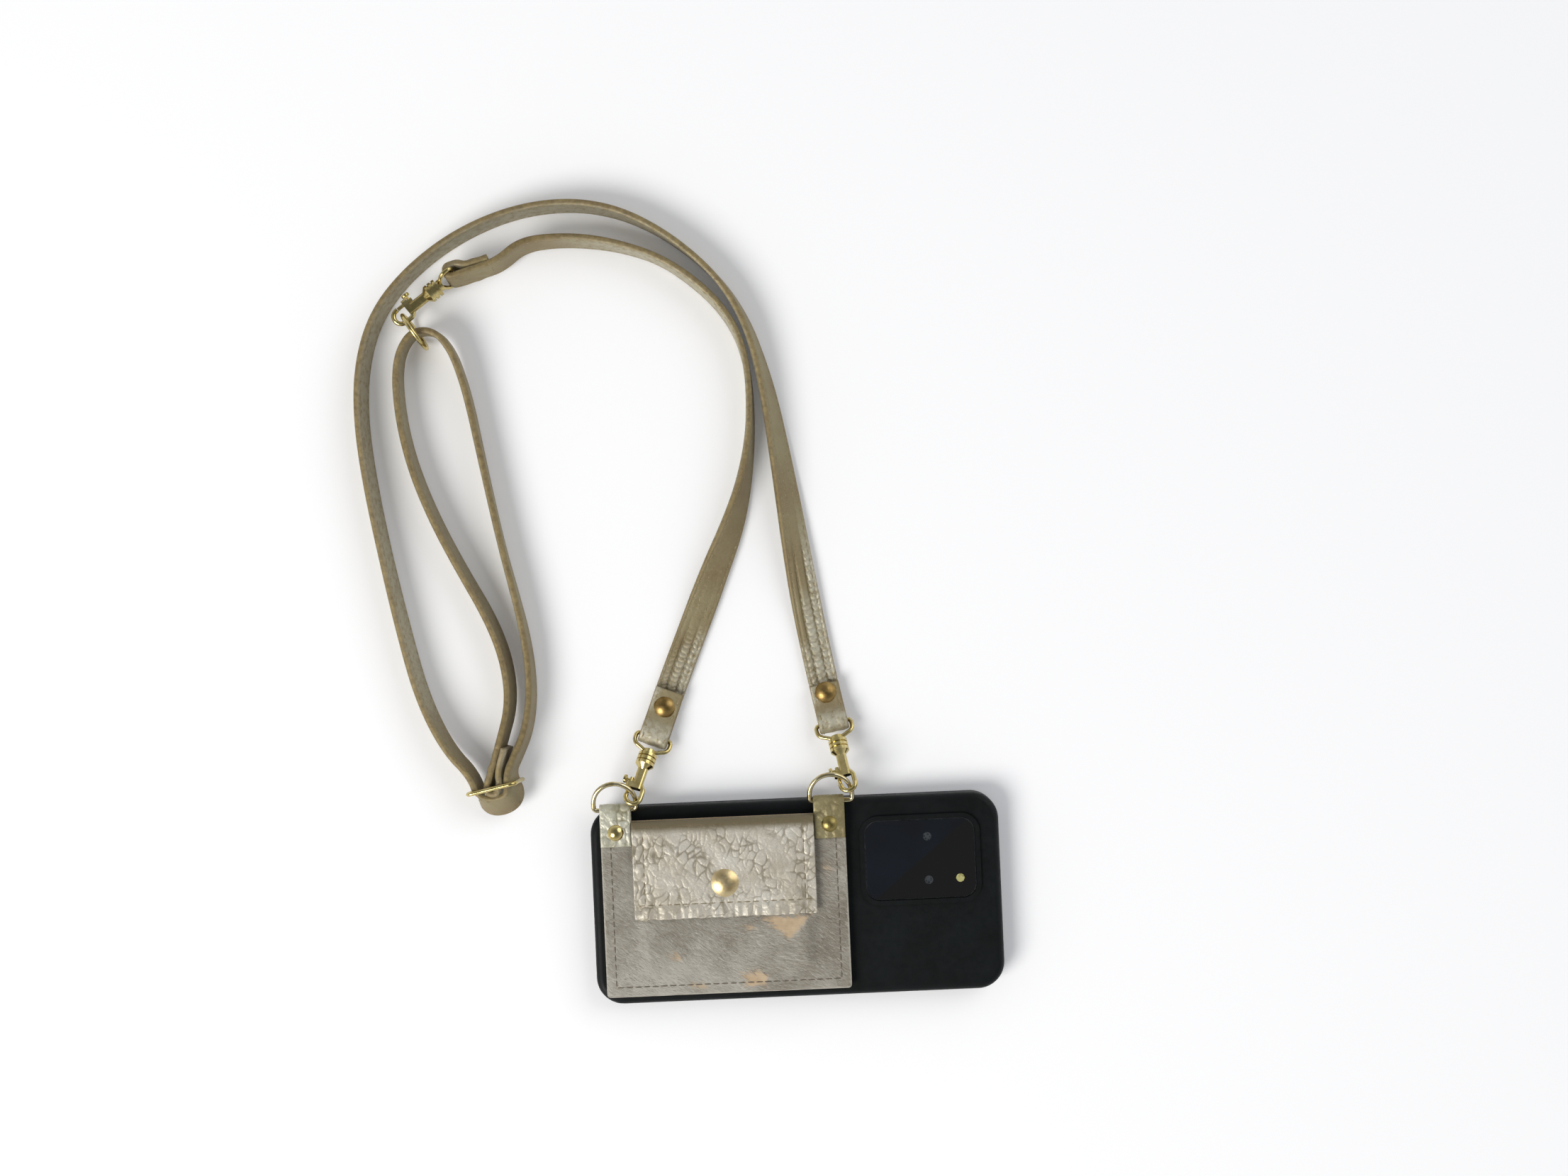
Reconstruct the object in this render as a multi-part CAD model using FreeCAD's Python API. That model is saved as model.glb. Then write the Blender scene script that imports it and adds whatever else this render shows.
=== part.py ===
"""Crossbody phone pouch, in millimetres.

A phone in a soft case lies with its screen down. A flat leather pouch with a snap flap is stuck to the
back of the case, and an adjustable leather strap is clipped to two rings on the pouch.
X runs along the phone towards its camera, Y towards the strap, Z up from the table.
"""
import math
import os
from collections import namedtuple

import FreeCAD
import Part

V = FreeCAD.Vector

# Phone
phone_length = 162.4
phone_width = 76.4
phone_thickness = 8.7
phone_corner = 9.2
phone_edge = 2.4
glass_thickness = 0.7
glass_border = 0.6

# Camera window in the phone's back
window_length = 44.0
window_width = 31.5
window_corner = 5.2
window_rise = 1.9
window_end_gap = 10.5
window_side_gap = 10.4
lens_diameter = 3.4
lens_depth = 0.8
lens_x_share = 0.07
lens_y_shares = (-0.27, 0.29)
flash_x_share = 0.36
flash_y_share = -0.26

# Soft case round the phone
fit_gap = 0.2
seat_gap = 0.1
case_wall = 1.6
case_back = 1.4
case_lip = 0.9
case_edge = 2.8
rim_gap = 0.5
rim_wall = 1.9
rim_rise = 0.9
port_width = 12.5
port_height = 4.6

# Pouch panels, one leather over the other
panel_corner = 1.6
panel_leather = 1.3
panel_end_gap = 4.5
panel_side_gap = 3.6
panel_top_gap = 5.4
panel_window_gap = 8.0
pad_thickness = 1.3
pad_side_gap = 7.5
pad_rise = 6.0
pad_drop = 15.0
pocket_gap = 1.6
pocket_slope = 4.0
pocket_floor = 7.0
front_drop = 2.6

# Tabs that hold the rings
tab_width = 12.6
tab_length = 17.4
tab_leather = 1.2
tab_gap = 0.1
tab_rise = 7.3
tab_lift = 0.1

# Flap that folds over the pocket's mouth
flap_drop = 39.8
flap_leather = 1.2
flap_lining = 0.5
flap_corner = 2.5
flap_lift = 0.15
lining_inset = 0.8
root_inset = 6.8
root_length = 9.0

# Snap fastener
snap_drop = 25.9
snap_cap_diameter = 11.6
snap_cap_height = 1.9
snap_socket_diameter = 8.2
snap_stud_diameter = 3.8
snap_stud_height = 1.2
snap_gap = 0.3
snap_hole_gap = 0.1
snap_base_diameter = 7.6
snap_base_thickness = 0.5
snap_post_diameter = 2.6

# Rivets
tab_rivet_diameter = 6.5
tab_rivet_height = 1.5
tab_rivet_drop = 11.6
strap_rivet_diameter = 8.8
strap_rivet_height = 1.9
strap_rivet_reach = 12.8
rivet_post_diameter = 2.4
rivet_base_thickness = 0.5
rivet_base_share = 0.8

# Half-round rings in the tabs
ring_wire = 1.9
ring_width = 19.1
ring_height = 12.5
ring_corner = 1.3
ring_tilt = 20.0
ring_slips = (0.0, 1.0)
catch_angles = (22.0, 36.0)
catch_drops = (0.2, 0.25)

# Swivel snap hooks, measured along the hook from the bar of its eye
eye_wire = 1.7
eye_room = 0.4
eye_shoulder = 4.5
eye_length = 7.1
eye_corner = 1.6
eye_shoulder_round = 3.0
collar_diameter = 5.0
collar_length = 1.6
stem_diameter = 2.4
stem_head_diameter = 3.6
stem_head_length = 1.2
swivel_gap = 0.3
barrel_rib_diameter = 7.6
barrel_groove_diameter = 6.3
barrel_rib_length = 1.25
barrel_groove_length = 0.6
barrel_ribs = 3
barrel_taper = 2.2
shank_width = 4.2
shank_thickness = 3.0
shank_length = 6.2
shank_edge = 1.2
lug_length = 2.4
lug_rim = 0.8
hook_wire = 1.9
hook_width = 7.9
hook_length = 7.4
hook_tip = 4.4
bolt_diameter = 1.5
bolt_gap = 0.2
bolt_reach = 3.2
knob_stem_diameter = 1.2
knob_stem_length = 1.9
knob_diameter = 3.4
knob_thickness = 1.3
knob_edge = 0.4
hook_headings = (21.0, -11.0)
hook_rolls = (9.0, 9.0)

# Strap leather
strap_width = 12.2
strap_leather = 2.6
table_gap = 0.15
fold_gap = 0.3
fold_flat = 3.0
fold_slope = 7.0
strap_headings = (21.4, -11.0)
clasp_end_length = 24.0
clasp_tail_lengths = (20.0, 16.4)
far_end_length = 19.0
far_tail_length = 15.5
loop_end_length = 20.0
loop_tail_length = 17.0

# Third hook, at the far end of the short strap
far_hook_x = -128.6
far_hook_y = 259.4
far_hook_height = 8.6
far_hook_heading = -128.2
far_strap_heading = 73.5
far_strap_roll = 104.0

# Round ring that carries the strap's loop
link_wire = 1.9
link_diameter = 18.2
link_heading = 147.0

# Slider
slider_wire = 1.8
slider_x = -120.6
slider_y = 50.5
slider_heading = 78.0
slider_lean = 8.0
slider_corner = 2.2
slider_bar_share = 0.9
slider_turn_gap = 2.1
slider_side_gap = 0.7
slider_entry = 6.0
slider_exit = 4.0
slider_fold_turn = 31.0
turn_roll = 62.0
turn_drop = 1.0
turn_lift = 1.2

# Routes of the straps: x, y, roll of the leather about its own line and lift off the table.
# Roll 0 lies flat, roll 90 stands on edge with the inner edge up. A turn round a bar has its own radius.
Stop = namedtuple("Stop", "x y roll lift radius", defaults=(0.0, None))

short_route = [
    Stop(-37.6, 111.7, 0),
    Stop(-27.6, 135.2, 26),
    Stop(-21.6, 148.4, 42),
    Stop(-17.2, 160.2, 57),
    Stop(-13.6, 173.4, 72),
    Stop(-11.1, 188.6, 83),
    Stop(-10.4, 203.6, 87),
    Stop(-11.2, 217.6, 90),
    Stop(-14.4, 230.6, 93),
    Stop(-21.4, 242.4, 95),
    Stop(-31.4, 252.6, 95),
    Stop(-44.2, 262.0, 93),
    Stop(-58.4, 267.6, 95),
    Stop(-73.8, 271.0, 100),
    Stop(-89.0, 271.8, 101),
    Stop(-101.0, 269.9, 103, 1.6),
]

long_route = [
    Stop(10.0, 111.6, 0),
    Stop(6.6, 134.4, 22),
    Stop(3.4, 160.0, 41),
    Stop(0.4, 183.2, 54),
    Stop(-2.6, 203.4, 64),
    Stop(-6.0, 219.6, 75),
    Stop(-10.8, 235.4, 81),
    Stop(-19.0, 250.4, 85),
    Stop(-30.4, 262.8, 88),
    Stop(-45.2, 274.4, 91),
    Stop(-62.6, 283.0, 96),
    Stop(-82.2, 286.4, 98),
    Stop(-104.4, 284.0, 97),
    Stop(-127.2, 275.2, 98),
    Stop(-147.2, 261.2, 97),
    Stop(-161.4, 244.4, 99),
    Stop(-168.2, 223.8, 100),
    Stop(-169.4, 201.0, 100),
    Stop(-166.6, 174.6, 100),
    Stop(-161.6, 145.0, 99),
    Stop(-155.4, 114.0, 102),
    Stop(-149.2, 87.6, 102),
    Stop(-139.6, 66.6, 100, 1.2),
]

loop_rise_route = [
    Stop(-111.4, 62.6, 80, 3.2),
    Stop(-107.2, 71.6, 82, 2.0),
    Stop(-104.9, 83.0, 84, 0.8),
    Stop(-104.6, 97.0, 86, 0.2),
    Stop(-106.4, 112.4, 88),
    Stop(-109.8, 128.6, 91),
    Stop(-114.0, 146.8, 93),
    Stop(-118.0, 168.0, 93),
    Stop(-121.6, 188.4, 92),
    Stop(-124.4, 205.0, 91, 0.2),
    Stop(-127.2, 217.6, 91, 1.2),
    Stop(-131.0, 229.0, 90, 2.3),
    Stop(-137.0, 236.4, 89, 2.8),
]

loop_fall_route = [
    Stop(-151.0, 230.0, 90, 2.6),
    Stop(-153.4, 220.6, 92, 1.4),
    Stop(-153.4, 208.0, 93, 0.4),
    Stop(-151.6, 193.4, 94),
    Stop(-147.2, 176.4, 96),
    Stop(-139.8, 157.4, 97),
    Stop(-130.4, 138.2, 97),
    Stop(-121.0, 120.6, 99),
    Stop(-115.4, 106.0, 99, 0.6),
    Stop(-113.0, 92.8, 99, 1.4),
    Stop(-113.4, 81.4, 98, 2.2),
]

# Rounding of the routes and reach of the cutting shapes
corner_share = 0.45
step_angle = 9.0
overrun = 2.0

# Levels of the stacked pieces
case_length = phone_length + 2 * (fit_gap + case_wall)
case_width = phone_width + 2 * (fit_gap + case_wall)
case_corner = phone_corner + fit_gap + case_wall
phone_top = case_lip + phone_thickness
case_top = phone_top + seat_gap + case_back
back_base = case_top + pad_thickness
front_base = back_base + panel_leather
margin_top = front_base + panel_leather
pocket_top = front_base + pocket_gap
front_top = pocket_top + panel_leather
lining_base = front_top + flap_lift
flap_base = lining_base + flap_lining
flap_top = flap_base + flap_leather

# Place of the camera window
window_x = case_length / 2 - window_end_gap - window_length / 2
window_y = case_width / 2 - window_side_gap - window_width / 2

# Edges of the pouch
panel_left = -case_length / 2 + panel_end_gap
panel_right = window_x - window_length / 2 - panel_window_gap
panel_width = panel_right - panel_left
panel_x = panel_left + panel_width / 2
panel_bottom = -case_width / 2 + panel_side_gap
panel_top = case_width / 2 - panel_top_gap
panel_height = panel_top - panel_bottom
tab_top = panel_top + tab_rise
front_edge = panel_top - front_drop
flap_width = panel_width - 2 * (tab_width + tab_gap)
root_width = flap_width - 2 * root_inset
fold_outer = (flap_top - front_base) / 2
fold_height = front_base + fold_outer
fold_y = panel_top - fold_outer
flap_edge = panel_top - flap_drop
snap_y = panel_top - snap_drop
tab_centres = (panel_left + tab_width / 2, panel_right - tab_width / 2)
tab_floor = case_top + tab_lift
tab_fold = (margin_top + tab_leather - tab_floor) / 2
ring_height_z = tab_floor + tab_fold
ring_y = tab_top - tab_fold
tab_foot = tab_top - tab_length
tab_rivet_y = tab_top - tab_rivet_drop

# Places along a hook
eye_half = (strap_width + 2 * eye_room + eye_wire) / 2
collar_start = eye_length - collar_length / 2
barrel_start = collar_start + collar_length + swivel_gap
barrel_ribbed = barrel_ribs * barrel_rib_length + (barrel_ribs - 1) * barrel_groove_length
barrel_end = barrel_start + barrel_ribbed + barrel_taper
lug_start = barrel_end + shank_length
lug_end = lug_start + lug_length
bolt_side = (hook_width - hook_wire) / 2
hook_end = lug_end + hook_length - hook_wire / 2
tip_start = hook_end + hook_wire / 2 - hook_tip
catch_reach = lug_end + (hook_end - hook_wire / 2 - lug_end) / 2
knob_place = lug_start - knob_stem_diameter / 2 - bolt_gap

# Fold of the strap round a bar
fold_inner = eye_wire / 2 + fold_gap
clasp_bar_height = table_gap + strap_leather + fold_inner


# Small helpers
def heading(angle):
    """Level direction turned by an angle from +Y towards +X."""
    return V(math.sin(math.radians(angle)), math.cos(math.radians(angle)), 0)


def frame(origin, along, up):
    """Placement whose X is along one direction and whose Z lies in the half plane of another."""
    x = V(along).normalize()
    y = V(up).cross(x).normalize()
    z = x.cross(y)
    rows = (x.x, y.x, z.x, origin.x, x.y, y.y, z.y, origin.y, x.z, y.z, z.z, origin.z, 0, 0, 0, 1)
    return FreeCAD.Placement(FreeCAD.Matrix(*rows))


def placed(shape, placement):
    moved = shape.copy()
    moved.Placement = placement.multiply(moved.Placement)
    return moved


def block(x0, x1, y0, y1, z0, z1):
    return Part.makeBox(x1 - x0, y1 - y0, z1 - z0, V(x0, y0, z0))


def slab(length, width, corner, z0, z1, centre_x=0.0, centre_y=0.0):
    """Plate with round corners, centred on a point."""
    plate = Part.makeBox(length, width, z1 - z0, V(centre_x - length / 2, centre_y - width / 2, z0))
    uprights = [edge for edge in plate.Edges if abs(edge.Vertexes[0].Z - edge.Vertexes[-1].Z) > corner / length]
    return plate.makeFillet(corner, uprights)


def round_level_edges(shape, radius, level):
    """Rounds the edges that lie at one height."""
    reach = radius / 10
    edges = [edge for edge in shape.Edges if abs(edge.BoundBox.ZMin - level) < reach
             and abs(edge.BoundBox.ZMax - level) < reach]
    return shape.makeFillet(radius, edges)


def post(diameter, z0, z1, x, y):
    return Part.makeCylinder(diameter / 2, z1 - z0, V(x, y, z0))


def dome(diameter, height, base, x, y):
    """Round cap, flat below, as a slice of a ball."""
    radius = ((diameter / 2) ** 2 + height ** 2) / (2 * height)
    ball = Part.makeSphere(radius, V(x, y, base + height - radius))
    return ball.common(post(diameter, base, base + height, x, y))


def outline(points):
    """Flat face through points, where a triple stands for an arc through its middle point."""
    edges = []
    corners = [point[-1] if isinstance(point, tuple) else point for point in points]
    for number, point in enumerate(points):
        start = corners[number - 1]
        if isinstance(point, tuple):
            edges.append(Part.Arc(start, point[0], point[1]).toShape())
        elif start != point:
            edges.append(Part.LineSegment(start, point).toShape())
    return Part.Face(Part.Wire(edges))


def bent_rod(points, radii, diameter, closed=False):
    """Round rod along a flat line of straight runs and round corners."""
    count = len(points)
    corners = range(count) if closed else range(1, count - 1)
    cuts = {}
    pieces = []
    for number in corners:
        here = points[number]
        back = (points[number - 1] - here).normalize()
        ahead = (points[(number + 1) % count] - here).normalize()
        turn = math.pi - back.getAngle(ahead)
        reach = radii[number] * math.tan(turn / 2)
        first = here + back * reach
        centre = here + (back + ahead).normalize() * (radii[number] / math.cos(turn / 2))
        axis = back.cross(ahead) * -1
        ring = Part.Face(Part.Wire(Part.makeCircle(diameter / 2, first, back)))
        pieces.append(ring.revolve(centre, axis, math.degrees(turn)))
        cuts[number] = (first, here + ahead * reach)
    for number in range(count if closed else count - 1):
        start = cuts[number][1] if number in cuts else points[number]
        following = (number + 1) % count
        end = cuts[following][0] if following in cuts else points[following]
        run = end - start
        if run.Length > diameter / 100:
            pieces.append(Part.makeCylinder(diameter / 2, run.Length, start, run))
    return pieces[0].multiFuse(pieces[1:]).removeSplitter()


# Phone and case
def phone_body():
    body = slab(phone_length, phone_width, phone_corner, case_lip + glass_thickness, phone_top)
    return round_level_edges(body, phone_edge, phone_top)


def screen_glass():
    inset = 2 * glass_border
    corner = phone_corner - glass_border
    return slab(phone_length - inset, phone_width - inset, corner, case_lip, case_lip + glass_thickness)


def window_spots():
    """Centres of the two lenses and of the flash."""
    lens_x = window_x + lens_x_share * window_length
    lenses = [(lens_x, window_y + share * window_width) for share in lens_y_shares]
    flash = (window_x + flash_x_share * window_length, window_y + flash_y_share * window_width)
    return lenses, flash


def spot(x, y):
    top = phone_top + window_rise
    return post(lens_diameter, top - lens_depth, top, x, y)


def camera_lenses():
    lenses, _ = window_spots()
    return Part.makeCompound([spot(*place) for place in lenses])


def camera_flash():
    _, flash = window_spots()
    return spot(*flash)


def camera_window():
    window = slab(window_length, window_width, window_corner, phone_top, phone_top + window_rise,
                  window_x, window_y)
    return window.cut(camera_lenses()).cut(camera_flash())


def camera_opening(margin, z0, z1):
    return slab(window_length + 2 * margin, window_width + 2 * margin, window_corner + margin, z0, z1,
                window_x, window_y)


def phone_case():
    shell = slab(case_length, case_width, case_corner, 0, case_top)
    shell = round_level_edges(shell, case_edge, case_top)
    shell = round_level_edges(shell, case_wall / 2, 0)
    shell = shell.fuse(camera_opening(rim_gap + rim_wall, phone_top + seat_gap, case_top + rim_rise))
    room = slab(phone_length + 2 * fit_gap, phone_width + 2 * fit_gap, phone_corner + fit_gap,
                -overrun, phone_top + seat_gap)
    room = round_level_edges(room, phone_edge, phone_top + seat_gap)
    shell = shell.cut(room)
    shell = shell.cut(camera_opening(rim_gap, phone_top - overrun, case_top + rim_rise + overrun))
    port_z = case_lip + phone_thickness / 2
    port = block(-case_length / 2 - overrun, -phone_length / 2 + fit_gap, -port_width / 2, port_width / 2,
                 port_z - port_height / 2, port_z + port_height / 2)
    return shell.cut(port).removeSplitter()


# Pouch
def panel(z0, z1, top):
    """Leather sheet of the pouch's outline, up to a top edge."""
    sheet = slab(panel_width, panel_height, panel_corner, z0, z1, panel_x, panel_bottom + panel_height / 2)
    return sheet.common(block(panel_left, panel_right, panel_bottom, top, z0, z1))


def pillow(base, top_edge):
    """Sloping raised middle of the front panel, which leaves room for the pocket."""
    wires = []
    for inset, level in ((0.0, 0.0), (pocket_slope, pocket_gap)):
        side = tab_width + tab_gap + inset
        left = panel_left + side
        right = panel_right - side
        floor = panel_bottom + pocket_floor + inset
        z = base + level
        corners = [V(left, floor, z), V(right, floor, z), V(right, top_edge, z), V(left, top_edge, z)]
        wires.append(Part.makePolygon(corners + corners[:1]))
    return Part.makeLoft(wires, True, True)


def tab_posts(z0, z1):
    return [post(rivet_post_diameter, z0, z1, x, tab_rivet_y) for x in tab_centres]


def adhesive_pad():
    left = panel_left + pad_side_gap
    right = panel_right - pad_side_gap
    return block(left, right, panel_bottom + pad_rise, panel_top - pad_drop, case_top, back_base)


def back_panel():
    return panel(back_base, front_base, panel_top).cut(tab_posts(back_base, front_base))


def front_panel():
    sheet = panel(front_base, margin_top, front_edge).fuse(pillow(margin_top, front_edge))
    sheet = sheet.cut(pillow(front_base, front_edge + overrun)).removeSplitter()
    return sheet.cut(tab_posts(front_base, margin_top) + [snap_post(pocket_top, front_top)])


def snap_post(z0, z1):
    return post(snap_post_diameter, z0, z1, panel_x, snap_y)


def flap_sheet(z0, z1, width, edge):
    """Flap leather from the fold down to its lower edge."""
    left = panel_x - width / 2
    sheet = block(left, left + width, edge, fold_y, z0, z1)
    lower = [e for e in sheet.Edges if abs(e.BoundBox.YMax - edge) < flap_corner / 10 and e.BoundBox.ZLength > 0
             and e.BoundBox.XLength < flap_corner / 10]
    return sheet.makeFillet(flap_corner, lower)


def snap_hole(z0, z1):
    return post(snap_socket_diameter + 2 * snap_hole_gap, z0, z1, panel_x, snap_y)


def flap():
    sheet = flap_sheet(flap_base, flap_top, flap_width, flap_edge)
    return sheet.cut(snap_hole(flap_base, flap_top))


def flap_lining_sheet():
    width = flap_width - 2 * lining_inset
    sheet = flap_sheet(lining_base, flap_base, width, flap_edge + lining_inset)
    return sheet.cut(snap_hole(lining_base, flap_base))


def flap_root():
    """Fold of the flap over the pocket's mouth, and its end sewn inside on the back panel."""
    inner = fold_outer - flap_leather
    ring = outline([
        V(0, fold_y, fold_height + inner),
        V(0, fold_y, fold_height + fold_outer),
        (V(0, fold_y + fold_outer, fold_height), V(0, fold_y, fold_height - fold_outer)),
        V(0, fold_y, fold_height - inner),
        (V(0, fold_y + inner, fold_height), V(0, fold_y, fold_height + inner)),
    ])
    fold = ring.extrude(V(flap_width, 0, 0))
    fold.translate(V(panel_x - flap_width / 2, 0, 0))
    tongue = block(panel_x - root_width / 2, panel_x + root_width / 2, fold_y - root_length, fold_y,
                   front_base, front_base + flap_leather)
    return fold.fuse(tongue).removeSplitter()


def snap_cap():
    return dome(snap_cap_diameter, snap_cap_height, flap_top, panel_x, snap_y)


def snap_socket():
    socket = post(snap_socket_diameter, lining_base, flap_top, panel_x, snap_y)
    room = snap_stud_diameter + 2 * snap_gap
    return socket.cut(post(room, lining_base, front_top + snap_stud_height + snap_gap, panel_x, snap_y))


def snap_stud():
    neck = snap_post(pocket_top, front_top)
    head = post(snap_stud_diameter, front_top, front_top + snap_stud_height, panel_x, snap_y)
    return neck.fuse(head).removeSplitter()


def snap_base():
    return post(snap_base_diameter, pocket_top - snap_base_thickness, pocket_top, panel_x, snap_y)


def tab(centre_x):
    """Leather strip folded round the bar of a ring, with a leg on each side of the panels."""
    low = tab_floor
    high = margin_top + tab_leather
    inner = tab_fold - tab_leather
    strip = outline([
        V(0, tab_foot, low),
        V(0, ring_y, low),
        (V(0, tab_top, ring_height_z), V(0, ring_y, high)),
        V(0, tab_foot, high),
        V(0, tab_foot, margin_top),
        V(0, ring_y, margin_top),
        (V(0, ring_y + inner, ring_height_z), V(0, ring_y, back_base)),
        V(0, tab_foot, back_base),
    ])
    body = strip.extrude(V(tab_width, 0, 0))
    body.translate(V(centre_x - tab_width / 2, 0, 0))
    return body.cut(tab_rivet(centre_x))


def rivet(diameter, cap_height, grip):
    """Set rivet with its cap's flat on the origin, its post and its flush base below."""
    cap = dome(diameter, cap_height, 0, 0, 0)
    base = post(diameter * rivet_base_share, -grip, -grip + rivet_base_thickness, 0, 0)
    return cap.multiFuse([post(rivet_post_diameter, -grip, 0, 0, 0), base]).removeSplitter()


def tab_rivet(centre_x):
    grip = margin_top + tab_leather - tab_floor
    pin = rivet(tab_rivet_diameter, tab_rivet_height, grip)
    pin.translate(V(centre_x, tab_rivet_y, margin_top + tab_leather))
    return pin


# Rings
def ring_points():
    half = (ring_width - ring_wire) / 2
    reach = ring_height - ring_wire / 2
    points = [V(-half, 0, 0), V(half, 0, 0), V(half, reach, 0), V(-half, reach, 0)]
    return points, [ring_corner, ring_corner, half, half]


def ring_bar(side):
    return V(tab_centres[side] + ring_slips[side], ring_y, ring_height_z)


def ring_plane(side):
    tilt = math.radians(ring_tilt)
    return FreeCAD.Placement(ring_bar(side), FreeCAD.Rotation(V(1, 0, 0), math.degrees(tilt)))


def d_ring(side):
    points, radii = ring_points()
    return placed(bent_rod(points, radii, ring_wire, closed=True), ring_plane(side))


def catch_point(side):
    """Where the hook catches the round side of a ring."""
    half = (ring_width - ring_wire) / 2
    angle = math.radians(catch_angles[side])
    rise = ring_height - ring_wire / 2 - half
    flat = V(half * math.cos(angle), rise + half * math.sin(angle), 0)
    return ring_plane(side).multVec(flat)


# Swivel snap hooks, drawn along X with the bar of the eye at the origin
def swivel_eye():
    foot = collar_diameter / 2 - eye_wire / 2
    points = [V(0, -eye_half, 0), V(0, eye_half, 0), V(eye_shoulder, eye_half, 0), V(eye_length, foot, 0),
              V(eye_length, -foot, 0), V(eye_shoulder, -eye_half, 0)]
    radii = [eye_corner, eye_corner, eye_shoulder_round, eye_corner, eye_corner, eye_shoulder_round]
    loop = bent_rod(points, radii, eye_wire, closed=True)
    collar = Part.makeCylinder(collar_diameter / 2, collar_length, V(collar_start, 0, 0), V(1, 0, 0))
    head_end = barrel_start + barrel_ribbed
    stem = Part.makeCylinder(stem_diameter / 2, head_end - collar_start, V(collar_start, 0, 0), V(1, 0, 0))
    head = Part.makeCylinder(stem_head_diameter / 2, stem_head_length, V(head_end - stem_head_length, 0, 0),
                             V(1, 0, 0))
    return loop.multiFuse([collar, stem, head]).removeSplitter()


def barrel():
    """Ribbed barrel with the room in which the eye's stem turns."""
    points = [V(barrel_start, 0, 0)]
    x = barrel_start
    for number in range(barrel_ribs):
        points += [V(x, barrel_rib_diameter / 2, 0), V(x + barrel_rib_length, barrel_rib_diameter / 2, 0)]
        x += barrel_rib_length
        if number < barrel_ribs - 1:
            points += [V(x, barrel_groove_diameter / 2, 0), V(x + barrel_groove_length, barrel_groove_diameter / 2, 0)]
            x += barrel_groove_length
    points += [V(barrel_end, shank_thickness / 2, 0), V(barrel_end, 0, 0)]
    body = outline(points).revolve(V(0, 0, 0), V(1, 0, 0), 360)
    bore = Part.makeCylinder(stem_diameter / 2 + swivel_gap, barrel_ribbed, V(barrel_start, 0, 0), V(1, 0, 0))
    room_length = stem_head_length + 2 * swivel_gap
    room_start = barrel_start + barrel_ribbed - stem_head_length - swivel_gap
    room = Part.makeCylinder(stem_head_diameter / 2 + swivel_gap, room_length, V(room_start, 0, 0), V(1, 0, 0))
    return body.cut([bore, room])


def snap_hook():
    half = shank_thickness / 2
    bolt_edge = bolt_side + bolt_diameter / 2 + bolt_gap + lug_rim
    shank = block(barrel_end - half, lug_end, -shank_width / 2, shank_width / 2, -half, half)
    shank = shank.makeFillet(shank_edge, [e for e in shank.Edges if e.BoundBox.XLength > shank_length])
    lug = block(lug_start, lug_end, -bolt_edge, shank_width / 2, -half, half)
    lug = lug.makeFillet(shank_edge, [e for e in lug.Edges if e.BoundBox.XLength > lug_length / 2])
    start = V(lug_start, shank_width / 2 - hook_wire / 2, 0)
    shoulder = V(lug_end, bolt_side, 0)
    points = [start, shoulder, V(hook_end, bolt_side, 0), V(hook_end, -bolt_side, 0), V(tip_start, -bolt_side, 0)]
    round_end = bolt_side - hook_wire / 20
    claw = bent_rod(points, [0, hook_wire, round_end, round_end, 0], hook_wire)
    room = shank_room()
    return barrel().multiFuse([shank.cut(room), lug, claw]).removeSplitter().cut(bolt_bore())


def shank_room():
    """Keeps the shank out of the room in which the stem's head turns."""
    length = barrel_ribbed + swivel_gap
    return Part.makeCylinder(stem_head_diameter / 2 + swivel_gap, length, V(barrel_start, 0, 0), V(1, 0, 0))


def bolt_bore():
    start = V(lug_start - overrun, -bolt_side, 0)
    return Part.makeCylinder(bolt_diameter / 2 + bolt_gap, lug_length + 2 * overrun, start, V(1, 0, 0))


def snap_bolt():
    """Sprung bolt that shuts the hook, with its thumb knob."""
    start = knob_place - knob_stem_diameter
    rod = Part.makeCylinder(bolt_diameter / 2, tip_start - bolt_gap - start, V(start, -bolt_side, 0), V(1, 0, 0))
    stem = Part.makeCylinder(knob_stem_diameter / 2, knob_stem_length, V(knob_place, -bolt_side, 0), V(0, -1, 0))
    head = Part.makeCylinder(knob_diameter / 2, knob_thickness, V(knob_place, -bolt_side - knob_stem_length, 0),
                             V(0, -1, 0))
    head = head.makeFillet(knob_edge, head.Edges)
    return rod.multiFuse([stem, head]).removeSplitter()


def eye_frame(side):
    """Bar of the eye at the strap's fold on the table, hook towards the ring of the pouch."""
    catch = catch_point(side) - V(0, 0, catch_drops[side])
    drop = catch.z - clasp_bar_height
    level = math.sqrt(catch_reach ** 2 - drop ** 2)
    bar = V(catch.x, catch.y, clasp_bar_height) + heading(hook_headings[side]) * level
    return frame(bar, catch - bar, V(0, 0, 1))


# Strap
def strap_end(length, tail):
    """End of the strap folded round a bar along Y at the origin, the strap running along X below it."""
    outer = fold_inner + strap_leather
    lap = strap_leather - fold_inner
    low = -fold_inner
    body = outline([
        V(length, 0, low - strap_leather),
        V(0, 0, -outer),
        (V(-outer, 0, 0), V(0, 0, outer)),
        V(fold_flat, 0, outer),
        V(fold_flat + fold_slope, 0, lap),
        V(tail, 0, lap),
        V(tail, 0, low),
        V(length, 0, low),
    ])
    hole = outline([
        V(0, 0, low),
        (V(-fold_inner, 0, 0), V(0, 0, fold_inner)),
        V(fold_flat - fold_inner, 0, fold_inner),
        V(fold_flat + fold_slope / 2, 0, low),
    ])
    fold = body.cut(hole).extrude(V(0, strap_width, 0))
    fold.translate(V(0, -strap_width / 2, 0))
    return fold


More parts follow.
